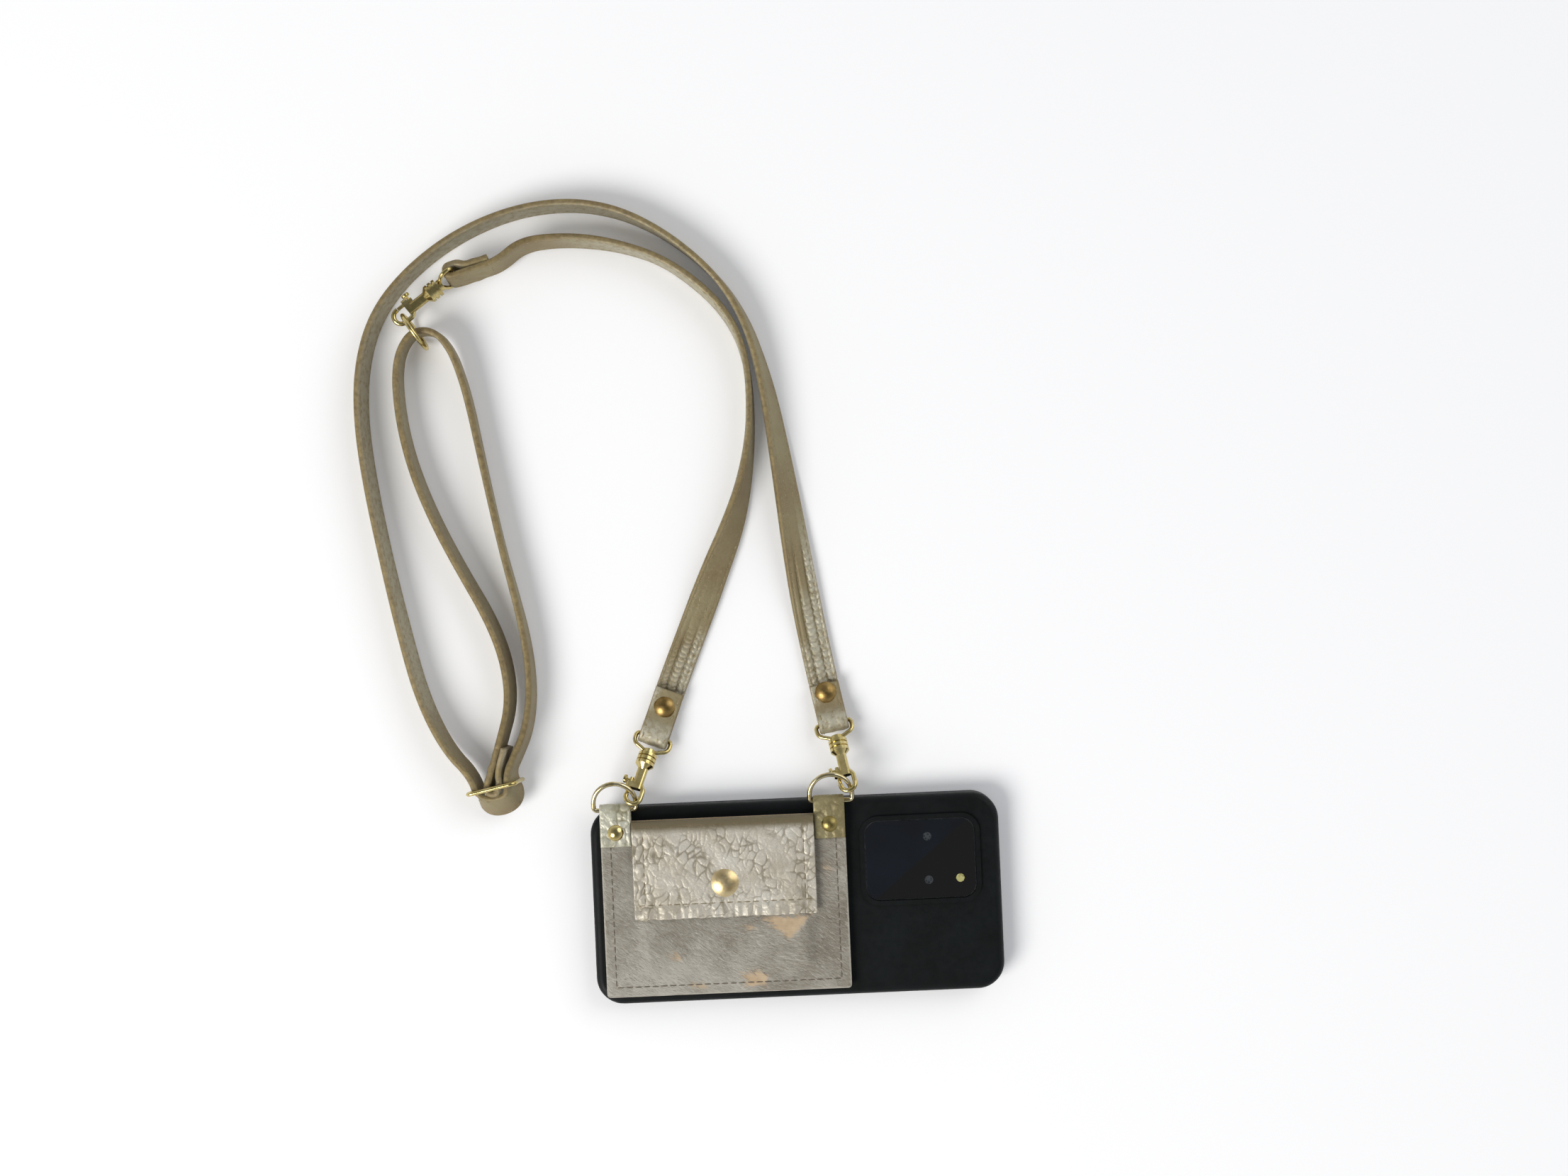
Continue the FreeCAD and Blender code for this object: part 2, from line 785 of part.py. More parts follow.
def hook_frame(side):
    """As the eye, but rolled a little about its swivel."""
    eye = eye_frame(side)
    along = eye.Rotation.multVec(V(1, 0, 0))
    return frame(eye.Base, along, FreeCAD.Rotation(along, hook_rolls[side]).multVec(V(0, 0, 1)))


def clasp_frame(side):
    bar = eye_frame(side).Base
    return frame(bar, heading(strap_headings[side]), V(0, 0, 1))


def strap_rivet():
    pin = rivet(strap_rivet_diameter, strap_rivet_height, 2 * strap_leather)
    pin.translate(V(strap_rivet_reach, 0, strap_leather - fold_inner))
    return pin


def clasp_end(side):
    end = strap_end(clasp_end_length, clasp_tail_lengths[side])
    return placed(end.cut(strap_rivet()), clasp_frame(side))


def strap_lean(along, roll):
    """Direction across the strap's width, from its lower to its upper edge."""
    side = V(0, 0, 1).cross(V(along.x, along.y, 0).normalize())
    rise = math.radians(roll)
    across = side * math.cos(rise) + V(0, 0, 1) * math.sin(rise)
    return (across - along * across.dot(along)).normalize()


def far_strap_frame():
    """Fold of the short strap's far end, standing on edge, with its tail on the outer side."""
    along = heading(far_strap_heading) * -1
    across = strap_lean(along, far_strap_roll)
    return frame(V(far_hook_x, far_hook_y, far_hook_height), along * -1, along.cross(across))


def far_hook_axes():
    """Bar of the far eye, and the direction of its hook, square to the bar."""
    bar = far_strap_frame().Rotation.multVec(V(0, 1, 0))
    level = heading(far_hook_heading)
    return V(far_hook_x, far_hook_y, far_hook_height), (level - bar * bar.dot(level)).normalize()


def far_eye_frame():
    origin, along = far_hook_axes()
    bar = far_strap_frame().Rotation.multVec(V(0, 1, 0))
    return frame(origin, along, along.cross(bar))


def far_hook_frame():
    origin, along = far_hook_axes()
    return frame(origin, along, V(0, 0, 1))


def link_ring():
    """Round ring on edge, which the far hook catches and the strap's loop runs through."""
    radius = (link_diameter - link_wire) / 2
    return Part.makeTorus(radius, link_wire / 2, link_centre(), heading(link_heading - 90))


def link_centre():
    radius = (link_diameter - link_wire) / 2
    origin, along = far_hook_axes()
    height = link_diameter / 2 + table_gap
    catch = origin + along * catch_reach
    level = math.sqrt(radius ** 2 - (height - catch.z) ** 2)
    return V(catch.x, catch.y, height) + heading(link_heading) * level


# Slider
def slider_axes():
    lean = math.radians(slider_lean)
    level = heading(slider_heading)
    across = level * math.cos(lean) + V(0, 0, 1) * math.sin(lean)
    bar = level * -math.sin(lean) + V(0, 0, 1) * math.cos(lean)
    return level, across, bar


def slider_sizes():
    """Half sizes of the slider's wire frame, and the radius at which the strap turns in it."""
    bar = slider_wire / 2
    turn = bar + fold_gap + strap_leather + slider_turn_gap + strap_leather / 2
    half_across = turn + strap_leather / 2 + slider_side_gap + bar
    half_along = strap_width / 2 + slider_side_gap + bar
    return half_across, half_along, turn


def slider_centre():
    half_across, half_along, _ = slider_sizes()
    lean = math.radians(slider_lean)
    height = half_across * math.sin(lean) + half_along * math.cos(lean) + slider_wire / 2
    return V(slider_x, slider_y, height)


def slider():
    half_across, half_along, _ = slider_sizes()
    corners = [V(-half_across, -half_along, 0), V(half_across, -half_along, 0), V(half_across, half_along, 0),
               V(-half_across, half_along, 0)]
    edge = bent_rod(corners, [slider_corner] * len(corners), slider_wire, closed=True)
    bar_radius = slider_bar_share * slider_wire / 2
    bar = Part.makeCylinder(bar_radius, 2 * half_along, V(0, -half_along, 0), V(0, 1, 0))
    _, across, along_bar = slider_axes()
    return placed(edge.fuse(bar).removeSplitter(), frame(slider_centre(), across, across.cross(along_bar)))


def loop_end_frame():
    """Fold of the loop's end round the slider's middle bar, with its tail on the inner side."""
    _, across, bar = slider_axes()
    turn = FreeCAD.Rotation(bar, -slider_fold_turn)
    along = bar.cross(across)
    return frame(slider_centre(), turn.multVec(along), turn.multVec(across))


def end_face(placement, length):
    """Middle of the face where a folded end meets the free strap, and the direction away from the fold."""
    middle = placement.multVec(V(length, 0, -fold_inner - strap_leather / 2))
    return middle, placement.Rotation.multVec(V(1, 0, 0))


# Free stretches of the strap
def centre_height(stop):
    rise = math.radians(stop.roll)
    half = strap_width / 2 * abs(math.sin(rise)) + strap_leather / 2 * abs(math.cos(rise))
    return table_gap + half + stop.lift


def fold_roll(placement):
    """Roll of the strap that runs into a folded end."""
    along = placement.Rotation.multVec(V(-1, 0, 0))
    across = placement.Rotation.multVec(V(0, 1, 0))
    side = V(0, 0, 1).cross(along).normalize()
    rise = V(0, 0, 1) - along * along.z
    return math.degrees(math.atan2(across.dot(rise) / rise.Length ** 2, across.dot(side))) % 180


def face_stop(point, roll):
    bare = Stop(point.x, point.y, roll)
    return bare._replace(lift=point.z - centre_height(bare))


def slider_stop(side, reach):
    """Place of the strap beside the slider's middle bar, a reach past the slider."""
    level, across, _ = slider_axes()
    _, _, turn = slider_sizes()
    point = slider_centre() + across * (side * turn) + V(level.y, -level.x, 0) * reach
    return face_stop(point, 90 - side * slider_lean)


def slider_turn():
    """Square turn of the strap round the folded end in the slider, rounded to a half circle, and its way out.

    Its upper edge leans inwards on the turn."""
    _, _, turn = slider_sizes()
    corners = [slider_stop(side, turn + turn_drop) for side in (-1, 1)]
    corners = [stop._replace(roll=turn_roll, radius=turn, lift=stop.lift + turn_lift) for stop in corners]
    return [slider_stop(-1, 0)] + corners + [slider_stop(1, -slider_exit)]


def rounded(route):
    """Stations along a route whose corners are arcs: point, roll, and the radii that were used."""
    points = [V(stop.x, stop.y, centre_height(stop)) for stop in route]
    stations = [(points[0], route[0].roll)]
    radii = []
    for number in range(1, len(route) - 1):
        here = points[number]
        back = points[number - 1] - here
        ahead = points[number + 1] - here
        turn = math.pi - back.getAngle(ahead)
        shorter = min(back.Length, ahead.Length)
        radius = route[number].radius or corner_share * shorter / math.tan(turn / 2)
        radii.append(radius)
        reach = radius * math.tan(turn / 2)
        back_roll = route[number - 1].roll - route[number].roll
        ahead_roll = route[number + 1].roll - route[number].roll
        first = here + V(back).normalize() * reach
        last = here + V(ahead).normalize() * reach
        centre = here + (V(back).normalize() + V(ahead).normalize()).normalize() * (radius / math.cos(turn / 2))
        steps = max(2, math.ceil(math.degrees(turn) / step_angle))
        axis = (first - centre).cross(last - centre)
        start_roll = route[number].roll + back_roll * reach / back.Length
        end_roll = route[number].roll + ahead_roll * reach / ahead.Length
        for step in range(steps + 1):
            share = step / steps
            spin = FreeCAD.Rotation(axis, math.degrees(turn) * share)
            roll = start_roll + (end_roll - start_roll) * share
            stations.append((centre + spin.multVec(first - centre), roll))
    stations.append((points[-1], route[-1].roll))
    apart = [station for station, before in zip(stations[1:], stations)
             if (station[0] - before[0]).Length > strap_leather / 10]
    return [clear_of_table(*station) for station in stations[:1] + apart], radii


def clear_of_table(point, roll):
    return V(point.x, point.y, max(point.z, centre_height(Stop(0, 0, roll)))), roll


def band(name, route, start_along=None, end_along=None):
    """Flat strap along a route, as a run of straight and bent lengths."""
    stations, radii = rounded(route)
    points = [point for point, _ in stations]
    sections = []
    for number, (point, roll) in enumerate(stations):
        before = points[max(number - 1, 0)]
        after = points[min(number + 1, len(points) - 1)]
        along = V(after - before).normalize()
        if number == 0 and start_along:
            along = start_along
        if number == len(points) - 1 and end_along:
            along = end_along
        across = strap_lean(along, roll) * (strap_width / 2)
        through = along.cross(across).normalize() * (strap_leather / 2)
        corners = [point - across - through, point + across - through, point + across + through,
                   point - across + through]
        sections.append(Part.makePolygon(corners + corners[:1]))
    solid = Part.makeLoft(sections, True, True)
    length = sum((b - a).Length for a, b in zip(points, points[1:]))
    print(name, "length", round(length, 1), "least radius", round(min(radii), 1),
          "volume over section times length", round(solid.Volume / (length * strap_width * strap_leather), 3))
    return solid


def short_strap():
    start, out = end_face(clasp_frame(0), clasp_end_length)
    end, away = end_face(far_strap_frame(), far_end_length)
    route = [face_stop(start, 0)] + short_route + [face_stop(end, fold_roll(far_strap_frame()))]
    return band("short_strap", route, out, away * -1)


def long_strap():
    start, out = end_face(clasp_frame(1), clasp_end_length)
    level, _, _ = slider_axes()
    way_in = [slider_stop(-1, -slider_entry), slider_stop(-1, 0)]
    return band("long_strap", [face_stop(start, 0)] + long_route + way_in, out, V(level.y, -level.x, 0))


def strap_loop():
    level, _, bar = slider_axes()
    end, away = end_face(loop_end_frame(), loop_end_length)
    ring = link_centre()
    top = face_stop(ring, 90)
    route = slider_turn() + loop_rise_route + [top] + loop_fall_route + [face_stop(end, fold_roll(loop_end_frame()))]
    return band("strap_loop", route, V(level.y, -level.x, 0), away * -1)


# Every piece under its own name
def hook_pieces(name, hook_place, eye_place):
    return {
        f"{name}_swivel_eye": placed(swivel_eye(), eye_place),
        f"{name}_hook": placed(snap_hook(), hook_place),
        f"{name}_hook_bolt": placed(snap_bolt(), hook_place),
    }


def all_pieces():
    pieces = {
        "phone_case": phone_case(),
        "phone_body": phone_body(),
        "screen_glass": screen_glass(),
        "camera_window": camera_window(),
        "camera_lenses": camera_lenses(),
        "camera_flash": camera_flash(),
        "adhesive_pad": adhesive_pad(),
        "back_panel": back_panel(),
        "front_panel": front_panel(),
        "flap": flap(),
        "flap_lining": flap_lining_sheet(),
        "flap_root": flap_root(),
        "snap_cap": snap_cap(),
        "snap_socket": snap_socket(),
        "snap_stud": snap_stud(),
        "snap_base": snap_base(),
    }
    for side, name in enumerate(("left", "right")):
        pieces[f"{name}_tab"] = tab(tab_centres[side])
        pieces[f"{name}_tab_rivet"] = tab_rivet(tab_centres[side])
        pieces[f"{name}_ring"] = d_ring(side)
        pieces.update(hook_pieces(name, hook_frame(side), eye_frame(side)))
        pieces[f"{name}_strap_end"] = clasp_end(side)
        pieces[f"{name}_strap_rivet"] = placed(strap_rivet(), clasp_frame(side))
    pieces.update(hook_pieces("far", far_hook_frame(), far_eye_frame()))
    pieces["far_strap_end"] = placed(strap_end(far_end_length, far_tail_length), far_strap_frame())
    pieces["link_ring"] = link_ring()
    pieces["slider"] = slider()
    pieces["loop_strap_end"] = placed(strap_end(loop_end_length, loop_tail_length), loop_end_frame())
    pieces["short_strap"] = short_strap()
    pieces["long_strap"] = long_strap()
    pieces["strap_loop"] = strap_loop()
    return pieces


def middle_shift(pieces):
    """Move that puts the origin under the middle of the case and its rings."""
    reach = max(pieces[name].optimalBoundingBox().YMax for name in ("left_ring", "right_ring"))
    return V(0, (case_width / 2 - reach) / 2, 0)


os.makedirs("parts", exist_ok=True)
every_piece = all_pieces()
shift = middle_shift(every_piece)
for node, shape in every_piece.items():
    shape.translate(shift)
    shape.exportStep(f"parts/{node}.step")
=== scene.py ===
import math
import random

import bmesh
import bpy
from mathutils import Matrix, Vector, noise


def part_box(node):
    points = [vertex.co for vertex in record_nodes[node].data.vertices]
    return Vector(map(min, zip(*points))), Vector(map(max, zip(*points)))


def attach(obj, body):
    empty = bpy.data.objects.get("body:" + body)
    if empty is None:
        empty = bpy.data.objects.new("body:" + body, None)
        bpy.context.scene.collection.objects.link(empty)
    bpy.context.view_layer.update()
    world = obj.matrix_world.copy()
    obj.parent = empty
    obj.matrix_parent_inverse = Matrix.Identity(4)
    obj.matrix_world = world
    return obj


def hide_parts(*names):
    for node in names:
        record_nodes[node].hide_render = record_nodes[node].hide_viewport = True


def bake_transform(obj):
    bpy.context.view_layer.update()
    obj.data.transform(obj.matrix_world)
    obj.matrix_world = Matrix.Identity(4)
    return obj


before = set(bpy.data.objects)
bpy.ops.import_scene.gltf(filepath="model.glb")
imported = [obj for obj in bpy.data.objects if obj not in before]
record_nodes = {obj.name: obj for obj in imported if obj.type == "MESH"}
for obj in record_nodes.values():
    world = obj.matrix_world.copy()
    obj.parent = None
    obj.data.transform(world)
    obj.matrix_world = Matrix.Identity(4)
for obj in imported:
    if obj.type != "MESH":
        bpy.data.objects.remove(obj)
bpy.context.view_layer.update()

UP = Vector((0, 0, 1))

# Noise vectors start from the clock unless they have a seed
noise_seed = 1
noise.seed_set(noise_seed)

# Camera, floor and lights
camera_place = (0.0, 0.1205, 0.9)
camera_turn = -2.5
camera_lens = 50.3
floor_size = 40.0
floor_colour = (0.93, 0.93, 0.93, 1)
floor_glow = 0.07
lamp_aim = (-0.04, 0.09, 0.0)
# Name, place, size, power and tint of each lamp
lamps = [
    ("key", (-1.46, -0.99, 1.7), 1.4, 47.0, (1.0, 0.985, 0.96)),
    ("fill", (1.9, 1.4, 2.0), 2.4, 27.0, (0.97, 0.985, 1.0)),
]
# Height and colour of the world's light, low down and overhead
sky_stops = [(0.25, (0.95, 0.96, 1.0, 1)), (0.85, (0.22, 0.23, 0.25, 1))]
sky_strength = 0.75

# Straps
strap_width = 0.0122
strap_leather = 0.0026
strap_lengths = {"short_strap": 0.261, "long_strap": 0.532, "strap_loop": 0.400}
strap_columns = 21
edge_round = 0.0007
edge_turns = 5
seam_inset = 0.0016
seam_depth = 0.00014
groove_width = 0.00042

# Ribs of a strap near its clasp, with scallops like small cushions
rib_count = 3
rib_columns = 41
rib_parts = 4
rib_groove = 0.0005
rib_crown = 0.0002
scallop_heights = {"short_strap": 0.00012, "long_strap": 0.00022}
scallop_pitches = {"short_strap": 0.0021, "long_strap": 0.0027}
scallop_bow = 0.35
scallop_shift = 0.37
scallop_wander = 0.5
# Where along their lengths scallops, ribs and the pale foil colour with its painted reflection
# begin to fade, and where lines and stitches end
scallop_fade = 0.7
rib_fade = 0.6
foil_and_reflection_fade = 0.6
line_end = 1.7
thread_end = 1.6
# How deep in a groove its thread lies, and how much of the pale foil colour stays in a crease
thread_sink = 0.7
crease_foil_and_reflection = 0.75
# Length of each rib's scallops, and length and strength of its pale foil colour, partly painted
# reflection, from left to right
rib_scallops = {"short_strap": (0.026, 0.034, 0.036), "long_strap": (0.024, 0.040, 0.068)}
rib_foil_and_reflection = {"short_strap": ((0.018, 0.4), (0.030, 0.6), (0.036, 0.9)),
            "long_strap": ((0.022, 0.7), (0.044, 1.0), (0.076, 1.0))}

# Stitches
stitch_pitch = 0.0034
stitch_length = 0.0023
stitch_width = 0.0005
stitch_height = 0.0002
stitch_sides = 6
stitch_end = 0.2
row_pitch = 0.0035
row_length = 0.0029

# Routes of the straps: x, y and height of the leather's middle in millimetres, and its roll.
# Roll 0 lies flat and roll 90 stands on edge.
short_route = [
    (-49.8, 76.9, 1.4, 0), (-46.9, 84.3, 1.4, 0), (-37.6, 106.1, 1.4, 0),
    (-27.6, 129.6, 4, 26), (-21.6, 142.8, 5.2, 42), (-17.2, 154.6, 6, 57),
    (-13.6, 167.8, 6.4, 72), (-11.1, 183, 6.4, 83), (-10.4, 198, 6.3, 87),
    (-11.2, 212, 6.2, 90), (-14.4, 225, 6.3, 93), (-21.4, 236.8, 6.3, 95),
    (-31.4, 247, 6.3, 95), (-44.2, 256.4, 6.3, 93), (-58.4, 262, 6.3, 95),
    (-73.8, 265.4, 6.4, 100), (-89, 266.2, 6.4, 101), (-101, 264.3, 8, 103),
    (-109.7, 256.9, 9.2, 104), (-114.5, 255.5, 9.2, 104),
]
long_route = [
    (14.6, 80.3, 1.4, 0), (13.1, 88.1, 1.4, 0), (10, 106, 1.4, 0),
    (6.6, 128.8, 3.6, 22), (3.4, 154.4, 5.1, 41), (0.4, 177.6, 5.8, 54),
    (-2.6, 197.8, 6.2, 64), (-6, 214, 6.4, 75), (-10.8, 229.8, 6.4, 81),
    (-19, 244.8, 6.3, 85), (-30.4, 257.2, 6.3, 88), (-45.2, 268.8, 6.3, 91),
    (-62.6, 277.4, 6.4, 96), (-82.2, 280.8, 6.4, 98), (-104.4, 278.4, 6.4, 97),
    (-127.2, 269.6, 6.4, 98), (-147.2, 255.6, 6.4, 97), (-161.4, 238.8, 6.4, 99),
    (-168.2, 218.2, 6.4, 100), (-169.4, 195.4, 6.4, 100), (-166.6, 169, 6.4, 100),
    (-161.6, 139.4, 6.4, 99), (-155.4, 108.4, 6.4, 102), (-149.2, 82, 6.4, 102),
    (-139.6, 61, 7.6, 100), (-128.8, 49.3, 8.9, 98), (-127.6, 43.4, 8.9, 98),
]
loop_route = [
    (-127.6, 43.4, 8.9, 98), (-125.7, 36.1, 9.7, 50), (-112.1, 39.1, 11.7, 50),
    (-114.5, 50.3, 10.9, 82), (-111.4, 57, 9.6, 80), (-107.2, 66, 8.4, 82),
    (-104.9, 77.4, 7.2, 84), (-104.6, 91.4, 6.5, 86), (-106.4, 106.8, 6.3, 88),
    (-109.8, 123, 6.3, 91), (-114, 141.2, 6.3, 93), (-118, 162.4, 6.3, 93),
    (-121.6, 182.8, 6.3, 92), (-124.4, 199.4, 6.5, 91), (-127.2, 212, 7.5, 91),
    (-131, 223.4, 8.6, 90), (-137, 230.8, 9.1, 89), (-145.5, 231.1, 9.2, 90),
    (-151, 224.4, 8.8, 90), (-153.4, 215, 7.7, 92), (-153.4, 202.4, 6.7, 93),
    (-151.6, 187.8, 6.3, 94), (-147.2, 170.8, 6.4, 96), (-139.8, 151.8, 6.4, 97),
    (-130.4, 132.6, 6.4, 97), (-121, 115, 6.4, 99), (-115.4, 100.4, 7, 99),
    (-113, 87.2, 7.8, 99), (-113.4, 75.8, 8.6, 98), (-116.5, 64.6, 11.1, 97),
    (-118.1, 59.9, 10.7, 97),
]
route_steps = 26

# Joins of straps and folded ends, and which ends of a strap have one
splice_length = 0.002
splice_taper = 0.07
spliced_ends = {"short_strap": (1, 1), "long_strap": (1, 0), "strap_loop": (0, 1)}

# Folded strap ends
fold_middle = 0.00245
lap_height = 0.00015
bend_creases = 0.0003
# Bar, direction of the strap, direction of the tail's side, strap length and tail length
strap_ends = {
    "left_strap_end": ((-0.05563, 0.0620, 0.0039), (0.365, 0.931, 0), (0, 0, 1), 0.018, 0.020),
    "right_strap_end": ((0.01763, 0.06459, 0.0039), (-0.191, 0.982, 0), (0, 0, 1), 0.018, 0.0164),
    "far_strap_end": ((-0.1286, 0.2538, 0.0086), (0.959, 0.284, 0), (-0.276, 0.930, -0.242),
                      0.016, 0.0155),
    "loop_strap_end": ((-0.1206, 0.0449, 0.00993), (0.321, 0.945, 0.072), (0.937, -0.327, 0.119),
                       0.017, 0.017),
}

# Bald patches of the hide: corners of each, anticlockwise
bald_patches = [
    [(-0.0165, -0.0112), (-0.0048, -0.0222), (0.0062, -0.0105)],
    [(-0.0231, -0.0142), (-0.0210, -0.0163), (-0.0172, -0.0166), (-0.0185, -0.0139)],
    [(-0.0546, -0.0246), (-0.0515, -0.0278), (-0.0468, -0.0272), (-0.0505, -0.0236)],
    [(-0.0462, -0.0372), (-0.0440, -0.0396), (-0.0378, -0.0394), (-0.0392, -0.0368)],
    [(-0.0246, -0.0338), (-0.0232, -0.0398), (-0.0146, -0.0400), (-0.0128, -0.0352),
     (-0.0186, -0.0320)],
    [(0.0092, 0.0086), (0.0108, 0.0056), (0.0142, 0.0062), (0.0128, 0.0098)],
]
patch_rough = 0.0012
patch_soft = 0.0011

# Hair of the hide
hair_count = 26000
hair_length = 0.0042
hair_shares = (0.5, 1.1)
hair_width = 0.00016
hair_lift = 0.00012
hair_pale_left = 0.64
hair_pale_right = 0.38
hair_clouds = 0.6
hair_pale_spread = 0.22
hair_heading = -28.0
hair_spread = 13.0
hair_sway = 24
hair_parting = 0.0006
hair_seed = 11


# Small helpers
def web(code):
    """Linear colour of a web colour code."""
    channels = [int(code[place:place + 2], 16) / 255 for place in (0, 2, 4)]
    linear = [c / 12.92 if c <= 0.04045 else ((c + 0.055) / 1.055) ** 2.4 for c in channels]
    return (*linear, 1.0)


def smooth(low, high, value):
    """Soft step from 0 at one value to 1 at another."""
    share = min(max((value - low) / (high - low), 0.0), 1.0)
    return share * share * (3 - 2 * share)


def bell(value, centre, width):
    return math.exp(-((value - centre) / width) ** 2)


def swell(x, y, scale, seed):
    """Smooth noise over a plane."""
    return noise.noise(Vector((x * scale, y * scale, seed)))


def ripple(x, y, scale, seed):
    """Noise over a plane with finer noise on it."""
    return noise.fractal(Vector((x * scale, y * scale, seed)), 0.9, 2.1, 3)


def line_length(points):
    return sum((b - a).length for a, b in zip(points, points[1:]))


def finished_mesh(name, bm):
    mesh = bpy.data.meshes.new(name)
    bm.to_mesh(mesh)
    bm.free()
    return mesh


def linked(name, data):
    """New object in the scene."""
    thing = bpy.data.objects.new(name, data)
    bpy.context.scene.collection.objects.link(thing)
    return thing


def new_object(name, mesh, material, body):
    """Smooth piece of the part that rides on a body."""
    mesh.materials.append(material)
    mesh.shade_smooth()
    piece = linked(name, mesh)
    if body:
        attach(piece, body)
    return piece


# Materials
class Shader:
    """Builds one procedural material node by node."""

    def __init__(self, name):
        self.material = bpy.data.materials.new(name)
        self.material.use_nodes = True
        self.tree = self.material.node_tree
        self.surface = self.tree.nodes["Principled BSDF"]
        self.place = self.add("TexCoord").outputs["Object"]

    def add(self, kind, inputs=None, **settings):
        node = self.tree.nodes.new("ShaderNode" + kind)
        for key, value in settings.items():
            setattr(node, key, value)
        for key, value in (inputs or {}).items():
            self.feed(node.inputs[key], value)
        return node

    def feed(self, socket, value):
        """Feeds a socket from a socket, a web colour code or a plain value."""
        if isinstance(value, bpy.types.NodeSocket):
            self.tree.links.new(value, socket)
        else:
            socket.default_value = web(value) if isinstance(value, str) else value

    def set(self, **values):
        for key, value in values.items():
            self.feed(self.surface.inputs[key.replace("_", " ")], value)

    def attribute(self, name):
        return self.add("Attribute", attribute_name=name).outputs["Fac"]

    def noise(self, scale, detail=4.0, rough=0.55, place=None, warp=0.0):
        inputs = {"Vector": place or self.place, "Scale": scale, "Detail": detail,
                  "Roughness": rough, "Distortion": warp}
        return self.add("TexNoise", inputs).outputs["Fac"]

    def cells(self, scale, feature="F1", place=None):
        inputs = {"Vector": place or self.place, "Scale": scale}
        return self.add("TexVoronoi", inputs, feature=feature).outputs["Distance"]

    def spread(self, value, low=0.3, high=0.7, to_low=0.0, to_high=1.0):
        """Spreads out a range, by default the one that noise mostly keeps to."""
        inputs = {"Value": value, "From Min": low, "From Max": high, "To Min": to_low,
                  "To Max": to_high}
        return self.add("MapRange", inputs).outputs["Result"]

    def roughen(self, value, low, high):
        """Roughness that follows noise from one value to another."""
        self.set(Roughness=self.spread(value, to_low=low, to_high=high))

    def math(self, operation, first, second):
        clamp = operation == "MULTIPLY"
        node = self.add("Math", {0: first, 1: second}, operation=operation, use_clamp=clamp)
        return node.outputs[0]

    def mix(self, share, first, second):
        return self.add("Mix", {0: share, 6: first, 7: second}, data_type="RGBA").outputs[2]

    def warped(self, scale, amount):
        """Coordinates pushed about by noise, which bends the sides of cells."""
        inputs = {"Vector": self.place, "Scale": scale, "Detail": 3.0}
        shift = self.add("TexNoise", inputs).outputs["Color"]
        push = self.add("VectorMath", {0: shift, "Scale": amount}, operation="SCALE").outputs[0]
        return self.add("VectorMath", {0: self.place, 1: push}, operation="ADD").outputs[0]

    def stretched(self, turn, scales):
        """Coordinates turned about Z and stretched, for streaks."""
        inputs = {"Vector": self.place, "Rotation": (0, 0, math.radians(turn)), "Scale": scales}
        return self.add("Mapping", inputs).outputs["Vector"]

    def bump(self, height, distance, strength=1.0, under=None):
        inputs = {"Height": height, "Distance": distance, "Strength": strength}
        if under:
            inputs["Normal"] = under
        normal = self.add("Bump", inputs).outputs["Normal"]
        self.feed(self.surface.inputs["Normal"], normal)
        return normal


def strap_material():
    """Dull leather: tan to olive, pale silver where the silver mark paints foil and reflection,
    brown at the cut edges.
    """
    s = Shader("strap_tan_leather")
    patches = s.spread(s.noise(55, 3), 0.35, 0.65)
    tan = s.mix(patches, "7c6a48", "8b805e")
    grain = s.spread(s.noise(900, 5, 0.65))
    tan = s.mix(s.math("MULTIPLY", grain, 0.35), tan, "a39675")
    foil_and_reflection = s.math("MULTIPLY", s.attribute("silver"), s.spread(s.noise(420, 5, 0.7), 0.3, 0.55))
    # Pale silver here is partly real foil and partly a painted reflection
    skin = s.mix(foil_and_reflection, tan, "bdb8a4")
    raw = s.mix(s.spread(s.noise(500, 4)), "5f4d2c", "94804f")
    skin = s.mix(s.math("MULTIPLY", s.attribute("edge"), 0.75), skin, raw)
    pores = s.spread(s.cells(2400), 0.12, 0.26, 1.0, 0.0)
    seldom = s.spread(s.noise(300, 3), 0.45, 0.70)
    pores = s.math("MULTIPLY", pores, seldom)
    s.set(Base_Color=s.mix(s.math("MULTIPLY", pores, 0.6), skin, "4a3d28"))
    s.set(Metallic=s.spread(foil_and_reflection, 0.0, 1.0, 0.25, 0.6))
    s.set(Roughness=s.spread(grain, 0.0, 1.0, 0.42, 0.62))
    under = s.bump(s.math("SUBTRACT", grain, pores), 0.00015, 0.6)
    s.bump(s.cells(700, "SMOOTH_F1", s.warped(300, 0.0012)), 0.00014, 0.45, under)
    return s.material


def crinkled_leather(name, low, high, dark, metal, depth):
    """Foiled leather, darker in its creases, and darkened with painted shade where it is folded
    over.
    """
    s = Shader(name)
    warped = s.warped(170, 0.0065)
    fine = s.cells(620, "DISTANCE_TO_EDGE", warped)
    hair_lines = s.spread(fine, 0.0, 0.10, 1.0, 0.0)
    cloudy = s.spread(s.noise(70, 4), 0.35, 0.68)
    skin = s.mix(cloudy, low, high)
    creases = s.spread(s.attribute("crease"), 0.35, 1.0, 0.0, 0.75)
    skin = s.mix(creases, skin, dark)
    skin = s.mix(s.math("MULTIPLY", hair_lines, 0.16), skin, dark)
    # Painted shade: darker towards the fold, which turns away from the light
    skin = s.mix(s.attribute("fold"), skin, dark)
    s.set(Base_Color=skin, Metallic=metal)
    s.roughen(s.noise(600, 4), 0.38, 0.56)
    under = s.bump(s.spread(fine, 0.0, 0.35), 0.0003 * depth, 0.28)
    s.bump(s.noise(200, 4, 0.6, warp=0.8), 0.0009 * depth, 0.35, under)
    return s.material


